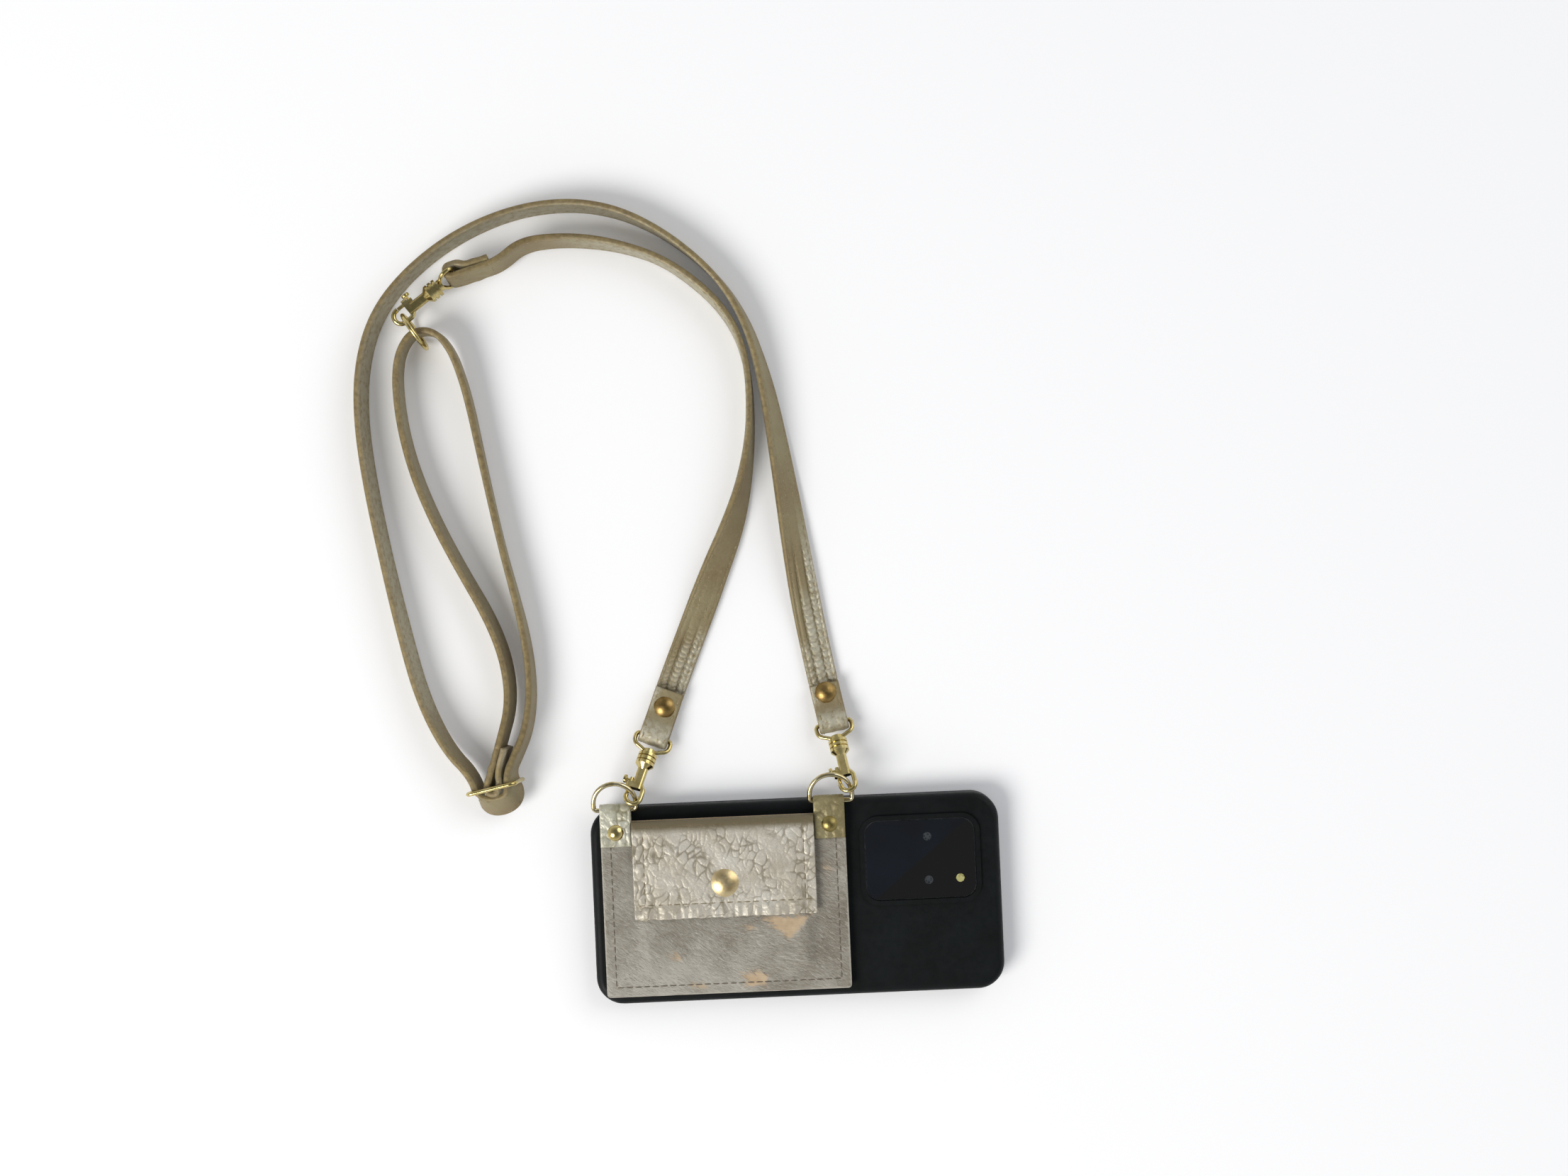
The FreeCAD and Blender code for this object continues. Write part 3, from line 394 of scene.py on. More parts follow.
def hide_material():
    """Grey hair-on hide with diagonal streaks and bald tan patches."""
    s = Shader("hide_grey_leather")
    streaks = s.noise(1.0, 5, 0.6, s.stretched(-hair_heading, (140, 1000, 400)))
    clouds = s.spread(s.noise(42, 4), 0.35, 0.65)
    hair = s.mix(clouds, "7f7466", "a9a395")
    hair = s.mix(s.spread(streaks, 0.35, 0.68), hair, "b5b0a3")
    bare = s.mix(s.spread(s.noise(300, 5)), "ae9575", "c6b090")
    bald = s.math("MULTIPLY", s.attribute("bald"), s.spread(streaks, 0.25, 0.5, 0.8, 1.0))
    s.set(Base_Color=s.mix(bald, hair, bare))
    s.roughen(streaks, 0.45, 0.65)
    s.set(Sheen_Weight=0.25)
    s.bump(streaks, 0.0003, 0.5)
    return s.material


def hair_material():
    """Short hair whose shade changes from hair to hair."""
    s = Shader("hide_grey_hair")
    shade = s.attribute("shade")
    dark = s.mix(s.spread(shade, 0.0, 0.5), "7d7466", "a09a8c")
    s.set(Base_Color=s.mix(s.spread(shade, 0.5, 1.0), dark, "bfbbaf"))
    s.roughen(s.noise(800, 2), 0.42, 0.6)
    return s.material


def lining_material():
    s = Shader("lining_tan_suede")
    nap = s.noise(1600, 4, 0.7)
    s.set(Base_Color=s.mix(s.spread(nap), "8a7350", "b19a74"), Roughness=0.9)
    s.set(Sheen_Weight=0.4)
    s.bump(nap, 0.0002, 0.5)
    return s.material


def metal_material(name, dark, light, rough_low, rough_high):
    """Plated metal with small wear in its colour and gloss."""
    s = Shader(name)
    wear = s.spread(s.noise(260, 5, 0.6), 0.35, 0.7)
    s.set(Base_Color=s.mix(wear, dark, light), Metallic=1.0)
    s.roughen(s.noise(700, 4), rough_low, rough_high)
    s.bump(s.noise(1200, 3), 0.00006, 0.4)
    return s.material


def case_material():
    """Matt black moulded case with a fine texture and faint rubbing."""
    s = Shader("case_black_plastic")
    rubbed = s.spread(s.noise(38, 5, 0.6), 0.45, 0.75)
    s.set(Base_Color=s.mix(rubbed, "060909", "0f1415"))
    s.roughen(s.noise(400, 4), 0.42, 0.56)
    s.set(Specular_IOR_Level=0.18)
    s.bump(s.noise(3800, 3, 0.6), 0.00008, 0.5)
    return s.material


def window_material():
    """Black glass over the cameras, with a painted reflection: darker and browner on one side of a
    slanting edge.
    """
    s = Shader("camera_black_glass")
    parts = s.add("SeparateXYZ", {"Vector": s.place})
    leaning = s.math("MULTIPLY", parts.outputs["X"], 0.82)
    reflection_slant = s.math("SUBTRACT", leaning, parts.outputs["Y"])
    # Painted reflection: the browner black on one side of this slanting edge
    side = s.spread(reflection_slant, 0.0330, 0.0338)
    blue = s.mix(s.spread(s.noise(60, 3)), "05080c", "0b1119")
    s.set(Base_Color=s.mix(side, blue, "0d0c09"), Roughness=0.12)
    s.set(Coat_Weight=0.4, Coat_Roughness=0.04)
    return s.material


def plain_glass():
    s = Shader("screen_black_glass")
    smear = s.noise(40, 4)
    s.set(Base_Color=s.mix(smear, "050607", "0b0d10"))
    s.roughen(smear, 0.05, 0.12)
    return s.material


def lens_material(name, dark, light):
    s = Shader(name)
    s.set(Base_Color=s.mix(s.spread(s.cells(900), 0.1, 0.6), dark, light))
    s.set(Roughness=0.15, Coat_Weight=0.6, Coat_Roughness=0.05)
    return s.material


def foam_material():
    s = Shader("pad_grey_foam")
    cell = s.cells(1800)
    s.set(Base_Color=s.mix(s.spread(cell, 0.1, 0.6), "3a3c3d", "5d6061"), Roughness=0.95)
    s.bump(cell, 0.0003, 0.7)
    return s.material


def thread_material(name, dark, light):
    s = Shader(name)
    twist = s.noise(2600, 3, 0.6)
    s.set(Base_Color=s.mix(s.spread(twist, 0.35, 0.65), dark, light), Roughness=0.8)
    s.bump(twist, 0.0001, 0.6)
    return s.material


strap_look = strap_material()
flap_look = crinkled_leather("flap_silver_leather", "b9b1a0", "d2cdc0", "71664d", 0.3, 0.6)
hide_look = hide_material()
hair_look = hair_material()
lining_look = lining_material()
foam_look = foam_material()
thread_look = thread_material("thread_grey", "4f463a", "7d7363")
flap_thread_look = thread_material("thread_brown", "6b5d45", "93856a")
strap_thread_look = thread_material("thread_tan", "6c5c3c", "b0a27c")
gold_look = metal_material("gold_plate", "bba869", "dccb90", 0.13, 0.24)
pale_gold_look = metal_material("pale_gold_plate", "b9a878", "e6dcb8", 0.10, 0.22)
brass_look = metal_material("brass_aged", "7f6638", "ac915c", 0.30, 0.44)
steel_look = metal_material("steel_plain", "7e8081", "a9abac", 0.36, 0.5)


# Camera and stage
def make_camera():
    data = bpy.data.cameras.new("camera")
    data.lens = camera_lens
    camera = linked("camera", data)
    camera.location = camera_place
    camera.rotation_euler = (0, 0, math.radians(camera_turn))
    bpy.context.scene.camera = camera


def make_floor():
    mesh = bpy.data.meshes.new("floor")
    half = floor_size / 2
    square = [(-half, -half, 0), (half, -half, 0), (half, half, 0), (-half, half, 0)]
    mesh.from_pydata(square, [], [(0, 1, 2, 3)])
    s = Shader("floor_pale")
    rays = s.add("LightPath").outputs
    mirrored = s.math("MAXIMUM", rays["Is Glossy Ray"], rays["Is Transmission Ray"])
    seen = s.math("MAXIMUM", rays["Is Camera Ray"], mirrored)
    s.set(Base_Color=floor_colour, Roughness=0.9, Specular_IOR_Level=0.1)
    s.set(Emission_Color=(1, 1, 1, 1), Emission_Strength=s.math("MULTIPLY", seen, floor_glow))
    mesh.materials.append(s.material)
    floor = linked("floor", mesh)


def make_lamp(name, place, size, power, tint):
    data = bpy.data.lights.new(name, "AREA")
    data.shape = "DISK"
    data.size = size
    data.energy = power
    data.color = tint
    lamp = linked(name, data)
    lamp.location = place
    aim = Vector(lamp_aim) - Vector(place)
    lamp.rotation_euler = aim.to_track_quat("-Z", "Y").to_euler()


def make_world():
    """Pale all round and dimmer overhead, for metal and glass to show."""
    world = bpy.data.worlds.new("studio")
    bpy.context.scene.world = world
    world.use_nodes = True
    tree = world.node_tree
    back = tree.nodes["Background"]
    coords = tree.nodes.new("ShaderNodeTexCoord")
    parts = tree.nodes.new("ShaderNodeSeparateXYZ")
    tree.links.new(coords.outputs["Generated"], parts.inputs[0])
    ramp = tree.nodes.new("ShaderNodeValToRGB")
    tree.links.new(parts.outputs["Z"], ramp.inputs[0])
    for stop, (height, colour) in zip(ramp.color_ramp.elements, sky_stops):
        stop.position = height
        stop.color = colour
    tree.links.new(ramp.outputs[0], back.inputs["Color"])
    back.inputs["Strength"].default_value = sky_strength


make_camera()
make_floor()
for lamp_row in lamps:
    make_lamp(*lamp_row)
make_world()
bpy.context.scene.view_settings.view_transform = "Standard"


# Sweeps of flat leather
def smooth_line(name, route):
    """Points and rolls along the smooth line that a route's points control."""
    curve = bpy.data.curves.new(name, "CURVE")
    curve.dimensions = "3D"
    places = [row[:3] for row in route]
    rolls = [(row[3], 0, 0) for row in route]
    for values in (places, rolls):
        spline = curve.splines.new("NURBS")
        spline.points.add(len(values) - 1)
        for point, value in zip(spline.points, values):
            point.co = (*value, 1)
        spline.order_u = 3
        spline.use_endpoint_u = True
        spline.resolution_u = route_steps
    line = bpy.data.objects.new(name, curve)
    mesh = bpy.data.meshes.new_from_object(line)
    found = [vertex.co.copy() for vertex in mesh.vertices]
    half = len(found) // 2
    bpy.data.objects.remove(line)
    return found[:half], [place.x for place in found[half:]]


def headings(points):
    """Direction of a line at each of its points."""
    steps = zip(points[:1] + points[:-1], points[1:] + points[-1:])
    return [(ahead - behind).normalized() for behind, ahead in steps]


def rolled_frames(points, rolls):
    """Point, direction, direction across and outward normal along a rolled strap."""
    frames = []
    for point, along, roll in zip(points, headings(points), rolls):
        side = UP.cross(Vector((along.x, along.y, 0)).normalized())
        across = side * math.cos(math.radians(roll)) + UP * math.sin(math.radians(roll))
        across = (across - along * across.dot(along)).normalized()
        frames.append((point, along, across, along.cross(across)))
    return frames


def flat_frames(points, across):
    """As rolled_frames, for a band that bends in one plane only."""
    return [(point, along, across, along.cross(across))
            for point, along in zip(points, headings(points))]


def band_section(width, thickness, columns=strap_columns):
    """Closed outline of a band: place across, height, and whether it lies on the cut edge."""
    half = width / 2
    rise = thickness / 2
    flat = half - min(edge_round, rise)
    outline = []
    for face in (1, -1):
        for column in range(columns):
            share = column / (columns - 1)
            outline.append((face * flat * (2 * share - 1), face * rise, 0.0))
        for turn in range(1, edge_turns):
            angle = math.pi * turn / edge_turns
            reach = (half - flat) * math.sin(angle)
            place, height = face * (flat + reach), face * rise * math.cos(angle)
            outline.append((place, height, math.sin(angle)))
    return outline


def sweep(name, frames, section, relief, marks, girth=None):
    """Band along frames, with marks for its material. Reliefs and marks vary along its run."""
    bm = bmesh.new()
    edge_layer = bm.verts.layers.float.new("edge")
    layers = [(bm.verts.layers.float.new(mark), amount) for mark, amount in marks.items()]
    run = 0.0
    before = frames[0][0]
    rings = []
    for point, _, across, out in frames:
        run += (point - before).length
        before = point
        scale = girth(run) if girth else 1.0
        ring = []
        for place, height, edge in section:
            face = 1 if height > 0 else -1
            lift = relief(run, place, face) * (1 - edge)
            offset = across * place + out * (height + face * lift)
            vertex = bm.verts.new(point + offset * scale)
            vertex[edge_layer] = edge
            for layer, amount in layers:
                vertex[layer] = amount(run, place, face)
            ring.append(vertex)
        rings.append(ring)
    count = len(section)
    for ring, following in zip(rings, rings[1:]):
        for number in range(count):
            nearby = (number + 1) % count
            bm.faces.new((ring[number], following[number], following[nearby], ring[nearby]))
    bm.faces.new(rings[0])
    bm.faces.new(reversed(rings[-1]))
    bmesh.ops.recalc_face_normals(bm, faces=bm.faces)
    return finished_mesh(name, bm)


# Stitches
def add_stitch(bm, place, along, out, length=stitch_length):
    """One raised stitch, thickest in its middle."""
    side = along.cross(out)
    rings = []
    for share in (-1.0, -0.75, 0.0, 0.75, 1.0):
        girth = math.sqrt(max(1.0 - share * share, 0.0)) * (1 - stitch_end) + stitch_end
        centre = place + along * (share * length / 2) + out * (girth - 1) * stitch_height
        ring = []
        for step in range(stitch_sides):
            angle = math.tau * step / stitch_sides
            offset = side * (math.cos(angle) * stitch_width / 2)
            offset = offset + out * (math.sin(angle) * stitch_height)
            ring.append(bm.verts.new(centre + offset * girth))
        rings.append(ring)
    for ring, following in zip(rings, rings[1:]):
        for step in range(stitch_sides):
            nearby = (step + 1) % stitch_sides
            bm.faces.new((ring[step], ring[nearby], following[nearby], following[step]))
    bm.faces.new(reversed(rings[0]))
    bm.faces.new(rings[-1])


def stitch_object(name, stitches, material, body):
    bm = bmesh.new()
    for stitch in stitches:
        add_stitch(bm, *stitch)
    return new_object(name, finished_mesh(name, bm), material, body)


def band_stitches(frames, places, faces, height, start=0.0, end=math.inf):
    """Stitches at a constant pitch along a band, at given places across it."""
    stitches = []
    run = 0.0
    due = max(start, stitch_pitch)
    before = frames[0][0]
    for point, along, across, out in frames:
        run += (point - before).length
        before = point
        if due <= run < end:
            due += stitch_pitch
            for place in places:
                for face in faces:
                    spot = point + across * place + out * (face * height)
                    stitches.append((spot, along, out * face))
    return stitches


def seam_stitches(frames):
    """Stitches along both edges of a strap, on both of its faces."""
    seams = [side * (strap_width / 2 - seam_inset) for side in (-1, 1)]
    return band_stitches(frames, seams, (-1, 1), strap_leather / 2 - seam_depth)


# Straps
def refined(points, rolls, ribbed):
    """The same line, with the steps of its ribbed stretch cut into parts."""
    places, turns = [], []
    run = 0.0
    for a, b, roll_a, roll_b in zip(points, points[1:], rolls, rolls[1:]):
        parts = rib_parts if run < ribbed else 1
        for part in range(parts):
            places.append(a.lerp(b, part / parts))
            turns.append(roll_a + (roll_b - roll_a) * part / parts)
        run += (b - a).length
    return places + [points[-1]], turns + [rolls[-1]]


def rib_of(place):
    """Rib at a place across the strap, from 1 at its left to -1 at its right."""
    return max(-1, min(1, round(place * rib_count / strap_width)))


def scallop(name, run, place):
    """Height of a rib's cushions, 0 in the sharp creases between them and 1 at their tops."""
    rib = rib_of(place)
    bow = scallop_bow * (1 - (place * 2 * rib_count / strap_width - 2 * rib) ** 2)
    uneven = swell(run * 160, rib * 3.7, 1, 1)
    shift = rib * scallop_shift
    turns = run / scallop_pitches[name] + shift + bow + scallop_wander * uneven
    return abs(math.sin(math.pi * turns))


def strap_relief(name):
    """Seam grooves along both edges, and scalloped ribs that fade away from the clasp."""
    half = strap_width / 2
    scallops = rib_scallops.get(name)

    def relief(run, place, face):
        seam = bell(abs(place), half - seam_inset, groove_width)
        lift = -seam_depth * seam
        if scallops and face > 0:
            length, longest = scallops[1 - rib_of(place)], max(scallops)
            puckers = 1 - smooth(length * scallop_fade, length, run)
            ribs = 1 - smooth(longest * rib_fade, longest, run)
            lines = 1 - smooth(longest, longest * line_end, run)
            cushion = scallop(name, run, place)
            pillow = scallop_heights[name] * (2 * cushion - 1) * puckers
            width = groove_width * (1.6 - 0.8 * cushion * puckers)
            groove = bell(abs(place), strap_width / (2 * rib_count), width)
            lift += (rib_crown * ribs + pillow) * (1 - groove) * (1 - seam)
            lift -= groove * (rib_groove * ribs + seam_depth * lines)
        return lift
    return relief


def strap_foil_and_reflection(name, inner_reflection):
    """How pale the foil colour is, partly real foil and partly painted reflection: on each rib
    from the clasp on, less in the creases between its cushions, and on the inside away from the
    end as painted reflection alone.
    """
    foil_and_reflection = rib_foil_and_reflection.get(name)

    def silver(run, place, face):
        # Painted reflection on the inner face
        if face < 0:
            return inner_reflection * smooth(0.004, 0.05, strap_lengths[name] - run)
        if not foil_and_reflection:
            return 0.0
        length, whole = foil_and_reflection[1 - rib_of(place)]
        # The pale colour is lower in the creases between the cushions
        top = smooth(0.0, 0.4, scallop(name, run, place))
        dimmed_in_creases = crease_foil_and_reflection + (1 - crease_foil_and_reflection) * top
        return whole * dimmed_in_creases * (1 - smooth(length * foil_and_reflection_fade, length, run))
    return silver


def strap_girth(name, whole):
    """Narrows a strap where it runs into a folded end, which narrows there the other way."""
    at_start, at_end = spliced_ends[name]

    def girth(run):
        start = at_start * (1 - smooth(0, splice_length, run))
        end = at_end * smooth(whole - splice_length, whole, run)
        return 1 - splice_taper * (start + end)
    return girth


def strap_pieces(name, mesh, stitches):
    """Leather and thread of one stretch of strap."""
    piece = new_object(name + "_leather", mesh, strap_look, "pouch")
    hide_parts(name)
    thread = stitch_object(name + "_stitches", stitches, strap_thread_look, "pouch")
    return [piece, thread]


def make_strap(name, route, inner_reflection):
    """A free stretch of strap along its route."""
    metres = [(x / 1000, y / 1000, z / 1000, roll) for x, y, z, roll in route]
    points, rolls = smooth_line(name, metres)
    scallops = rib_scallops.get(name)
    rib_run = max(scallops) if scallops else 0.0
    frames = rolled_frames(*refined(points, rolls, rib_run))
    columns = rib_columns if scallops else strap_columns
    section = band_section(strap_width, strap_leather, columns)
    mesh = sweep(name, frames, section, strap_relief(name), {"silver": strap_foil_and_reflection(name, inner_reflection)},
                 strap_girth(name, line_length(points)))
    stitches = seam_stitches(frames)
    if scallops:
        lines = [side * strap_width / (2 * rib_count) for side in (-1, 1)]
        sunk = strap_leather / 2 - rib_groove * thread_sink
        flush = strap_leather / 2 - seam_depth
        stitches += band_stitches(frames, lines, (1,), sunk, 0.0, rib_run)
        stitches += band_stitches(frames, lines, (1,), flush, rib_run, rib_run * thread_end)
    piece, thread = strap_pieces(name, mesh, stitches)


def make_strap_end(name):
    """End of a strap folded round a bar, its tail lying on the strap."""
    bar, along, up, length, tail = strap_ends[name]
    x_axis = Vector(along).normalized()
    y_axis = Vector(up).cross(x_axis).normalized()
    z_axis = x_axis.cross(y_axis)
    turn = Matrix((x_axis, y_axis, z_axis)).transposed()
    line = [(tail, lap_height), (tail * 0.6, lap_height),
            (tail * 0.36, lap_height + fold_middle * 0.2),
            (tail * 0.16, fold_middle), (-fold_middle, fold_middle),
            (-fold_middle, -fold_middle), (length * 0.3, -fold_middle),
            (length, -fold_middle)]
    route = [(*(Vector(bar) + turn @ Vector((x, 0, z))), 0) for x, z in line]
    points, _ = smooth_line(name, route)
    frames = flat_frames(points, -y_axis)
    whole = line_length(points)
    section = band_section(strap_width, strap_leather)
    mesh = sweep(name, frames, section, end_relief, {"silver": end_foil_and_reflection(tail)},
                 lambda run: 1 - splice_taper * smooth(whole - splice_length, whole, run))
    return strap_pieces(name, mesh, seam_stitches(frames))


def end_relief(run, place, face):
    """Seams, and shallow creases where the leather bends round the bar."""
    seam = bell(abs(place), strap_width / 2 - seam_inset, groove_width)
    wrinkle = swell(place * 420, run * 260, 1, face)
    return wrinkle * bend_creases - seam_depth * seam


def end_foil_and_reflection(tail):
    """Pale foil colour, partly painted reflection, at the bend round the bar and along one side of
    the tail.
    """
    def silver(run, place, face):
        bend = bell(run, tail * 0.95, tail * 0.22)
        side = smooth(-0.002, -0.006, place) * 0.9
        return max(bend, side * (1 - smooth(tail * 0.35, tail * 0.6, run)))
    return silver


far_pieces = make_strap_end("far_strap_end")
far_hardware = ("far_swivel_eye", "far_hook", "far_hook_bolt", "link_ring")
far_pieces += [record_nodes[node] for node in far_hardware]
loop_pieces = make_strap_end("loop_strap_end")
make_strap_end("left_strap_end")
make_strap_end("right_strap_end")
make_strap("short_strap", short_route, 0.75)
make_strap("long_strap", long_route, 0.6)
make_strap("strap_loop", loop_route, 0.2)


# Pouch sizes from the frame
def corners(node):
    low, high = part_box(node)
    return Vector(low), Vector(high)


back_high = corners("back_panel")[1]
front_low, front_high = corners("front_panel")
flap_low, flap_high = corners("flap")
lining_low, lining_high = corners("flap_lining")
root_low, root_high = corners("flap_root")
snap_low, snap_high = corners("snap_cap")
pad_low, pad_high = corners("adhesive_pad")
panel_leather = 0.0013
panel_wave = 0.00012
pocket_rise = 0.0016
pocket_slope = 0.0055
pocket_side = 0.0127
pocket_floor = 0.007
panel_corner = 0.0016
panel_seam = 0.004
panel_row_end = 0.006
sheet_edge = 0.0005
sheet_step = 0.0007

# Flap: its swell, seams, puckers outside the seams and curled lower edge
flap_leather = 0.0012
flap_corner = 0.0012
flap_step = 0.00036
flap_swell = 0.00035
flap_swell_reach = 0.012
flap_wave = 0.00028
# Width of the band of painted shade along the flap's fold
fold_shade_band = 0.0035
snap_calm = 0.008
fold_calm = 0.004
flap_side_seam = 0.0045
flap_bottom_seam = 0.0059
flap_seam_width = 0.0008
flap_seam_depth = 0.00022
flap_row_end = 0.003
flap_row_over = 0.003
pucker_below = 0.0007
pucker_beside = 0.00045
curl_height = 0.0003
curl_reach = 0.006
flap_scallop = 0.0006

# Fold of the flap, and its tongue inside the pouch
fold_columns = 61
fold_wave = 0.00018
fold_overlap = 0.0004
tongue_start = 0.003
tongue_narrower = 0.18
tongue_taper = (0.001, 0.006)

# Creases of crinkled leather
crease_depth = 0.0002
crease_width = 0.25
pebble_counts = (330, 215)
pebble_warp = 0.7

# Tabs
tab_leather = 0.0012
tab_columns = 31
tab_bend = 0.004
tab_wave = 0.0002
tab_puckers = 9
tab_pucker = 0.00016
tab_rivet_clear = (0.0024, 0.0040)


def sheet_places(low, high, step):
    """Grid lines along one side, close together at both edges."""
    fine = [0.0, 0.12, 0.35, 0.7, 1.0]
    start = [low + sheet_edge * share for share in fine]
    end = [high - sheet_edge * share for share in reversed(fine)]
    run = end[0] - start[-1]
    count = max(2, round(run / step))
    return start + [start[-1] + run * number / count for number in range(1, count)] + end


def leather_sheet(name, low, high, corner, top, thickness, marks, step=sheet_step):
    """Closed sheet over a level rectangle: shaped top, softened edges, marks for its material."""
    bm = bmesh.new()
    layers = [(bm.verts.layers.float.new(mark), amount) for mark, amount in marks.items()]
    xs = sheet_places(low[0], high[0], step)
    ys = sheet_places(low[1], high[1], step)
    faces = {}
    for side in (1, -1):
        for column, x0 in enumerate(xs):
            for row, y0 in enumerate(ys):
                x, y = round_corner(x0, y0, low, high, corner)
                inset = min(x0 - low[0], high[0] - x0, y0 - low[1], high[1] - y0)
                away = max(sheet_edge - inset, 0)
                drop = sheet_edge - math.sqrt(max(sheet_edge ** 2 - away ** 2, 0))
                z = top(x, y) - (drop if side > 0 else thickness - drop)
                vertex = bm.verts.new((x, y, z))
                for layer, amount in layers:
                    vertex[layer] = amount(x, y)
                faces[side, column, row] = vertex
    wide, tall = len(xs) - 1, len(ys) - 1
    square = ((0, 0), (1, 0), (1, 1), (0, 1))
    for column in range(wide):
        for row in range(tall):
            for side in (1, -1):
                loop = [faces[side, column + i, row + j] for i, j in square]
                bm.faces.new(loop if side > 0 else reversed(loop))
    rim = [(column, 0) for column in range(wide)] + [(wide, row) for row in range(tall)]
    rim += [(column, tall) for column in range(wide, 0, -1)]
    rim += [(0, row) for row in range(tall, 0, -1)]
    for here, following in zip(rim, rim[1:] + rim[:1]):
        bm.faces.new((faces[-1, *here], faces[-1, *following],
                      faces[1, *following], faces[1, *here]))
    return finished_mesh(name, bm)


def round_corner(x, y, low, high, corner):
    """Pulls a point of a corner square onto the corner's round."""
    centre_x = min(max(x, low[0] + corner), high[0] - corner)
    centre_y = min(max(y, low[1] + corner), high[1] - corner)
    away = math.hypot(x - centre_x, y - centre_y)
    if away <= corner:
        return x, y
    return centre_x + (x - centre_x) * corner / away, centre_y + (y - centre_y) * corner / away


def crease(x, y, seed):
    """1 in the creases of crinkled leather and 0 on the long pebbles between them."""
    push = noise.noise_vector(Vector((x * 150, y * 150, seed)))
    place = Vector((x * pebble_counts[0], y * pebble_counts[1], seed)) + push * pebble_warp
    nearest = noise.voronoi(place)[0]
    patch = ripple(x, y, 90, seed + 1)
    strong = smooth(-0.4, 0.4, patch)
    line = 1 - smooth(0.0, crease_width, nearest[1] - nearest[0])
    return line * (0.45 + 0.55 * strong)


# Panels
def pocket_height(x, y):
    side = min(x - front_low.x, front_high.x - x) - pocket_side
    floor = y - front_low.y - pocket_floor
    return pocket_rise * smooth(0, pocket_slope, side) * smooth(0, pocket_slope, floor)


def front_top(x, y):
    margin = front_low.z + panel_leather
    wave = panel_wave * ripple(x, y, 110, 3)
    return margin + pocket_height(x, y) + wave


def outside(x, y, outline):
    """Distance outside a convex outline, negative inside it."""
    most = -math.inf
    for (x0, y0), (x1, y1) in zip(outline, outline[1:] + outline[:1]):
        across = (y1 - y0) * (x - x0) - (x1 - x0) * (y - y0)
        most = max(most, across / math.hypot(x1 - x0, y1 - y0))
    return most


def baldness(x, y):
    """1 inside a bald patch of the hide and 0 in the hair, with a ragged rim."""
    nearest = min(outside(x, y, outline) for outline in bald_patches)
    ragged = patch_rough * ripple(x, y, 420, 5)
    return 1 - smooth(-patch_soft, patch_soft, nearest + ragged)


def make_sheet(node, ending, look, body, corner, top, thickness, marks):
    """Sheet over a node's rectangle, in place of the node."""
    mesh = leather_sheet(node, *corners(node), corner, top, thickness, marks)
    piece = new_object(node + ending, mesh, look, body)
    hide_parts(node)


def make_panels():
    make_sheet("back_panel", "_leather", lining_look, "pouch", panel_corner,
               lambda x, y: back_high.z, panel_leather, {})
    make_sheet("front_panel", "_hide", hide_look, "pouch", panel_corner,
               front_top, panel_leather, {"bald": baldness})
    make_sheet("adhesive_pad", "_foam", foam_look, "pouch", panel_corner,
               lambda x, y: pad_high.z, pad_high.z - pad_low.z, {})


def add_hair(bm, shade_layer, x, y, angle, length, shade):
    """One flat tapering hair that lies along the hide, at an angle in radians."""
    along = Vector((math.cos(angle), math.sin(angle), 0))
    side = Vector((-along.y, along.x, 0)) * hair_width / 2
    rows = []
    for share, girth, rise in ((0.0, 0.8, 0.0), (0.35, 1.0, 0.7), (0.7, 0.7, 1.0)):
        place = Vector((x, y, 0)) + along * (length * share)
        place.z = front_top(place.x, place.y) + hair_lift * rise
        rows.append([bm.verts.new(place - side * girth), bm.verts.new(place + side * girth)])
    tip = Vector((x, y, 0)) + along * length
    tip.z = front_top(tip.x, tip.y) + hair_lift * 0.9
    point = bm.verts.new(tip)
    for row, following in zip(rows, rows[1:]):
        bm.faces.new((row[0], following[0], following[1], row[1]))
    bm.faces.new((rows[-1][0], point, rows[-1][1]))
    for vertex in [v for row in rows for v in row] + [point]:
        vertex[shade_layer] = shade


def near_seam(x, y):
    """1 on the panel's line of stitches, which presses the hair down, and 0 away from it."""
    inset = min(x - front_low.x, front_high.x - x, y - front_low.y)
    return bell(inset, panel_seam, hair_parting)


def on_panel(x, y):
    """Nearest place on the front panel, a little inside its edge."""
    edge = Vector((sheet_edge,) * 3)
    low, high = front_low + edge, front_high - edge
    return min(max(x, low.x), high.x), min(max(y, low.y), high.y)


def make_hair():
    """Short hair all over the hide, thin on the bald patches."""
    chance = random.Random(hair_seed)
    bm = bmesh.new()
    layer = bm.verts.layers.float.new("shade")
    for _ in range(hair_count):
        middle_x = chance.uniform(front_low.x, front_high.x)
        middle_y = chance.uniform(front_low.y, front_high.y)
        sway = hair_sway * ripple(middle_x, middle_y, 28, 8)
        heading = hair_heading + chance.gauss(0, hair_spread) + sway
        reach = hair_length * chance.uniform(*hair_shares)
        across = (middle_x - front_low.x) / (front_high.x - front_low.x)
        pale = hair_pale_left + (hair_pale_right - hair_pale_left) * across
        cloud = hair_clouds * ripple(middle_x, middle_y, 42, 2)
        shade = min(max(pale + cloud + chance.gauss(0, hair_pale_spread), 0), 1)
        step_x = math.cos(math.radians(heading)) * reach / 2
        step_y = math.sin(math.radians(heading)) * reach / 2
        x, y = on_panel(middle_x - step_x, middle_y - step_y)
        end_x, end_y = on_panel(middle_x + step_x, middle_y + step_y)
        thin = max(baldness(x, y) ** 2, 0.7 * near_seam(middle_x, middle_y))
        if chance.random() < thin:
            continue
        length = math.hypot(end_x - x, end_y - y)
        add_hair(bm, layer, x, y, math.atan2(end_y - y, end_x - x), length, shade)
    new_object("hide_hair", finished_mesh("hide_hair", bm), hair_look, "pouch")


# Flap
def flap_fold_shade(x, y):
    """How far the flap is darkened with painted shade towards its fold."""
    return smooth(flap_high.y - fold_shade_band, flap_high.y, y)


def flap_crease(x, y):
    return crease(x, y, 2)


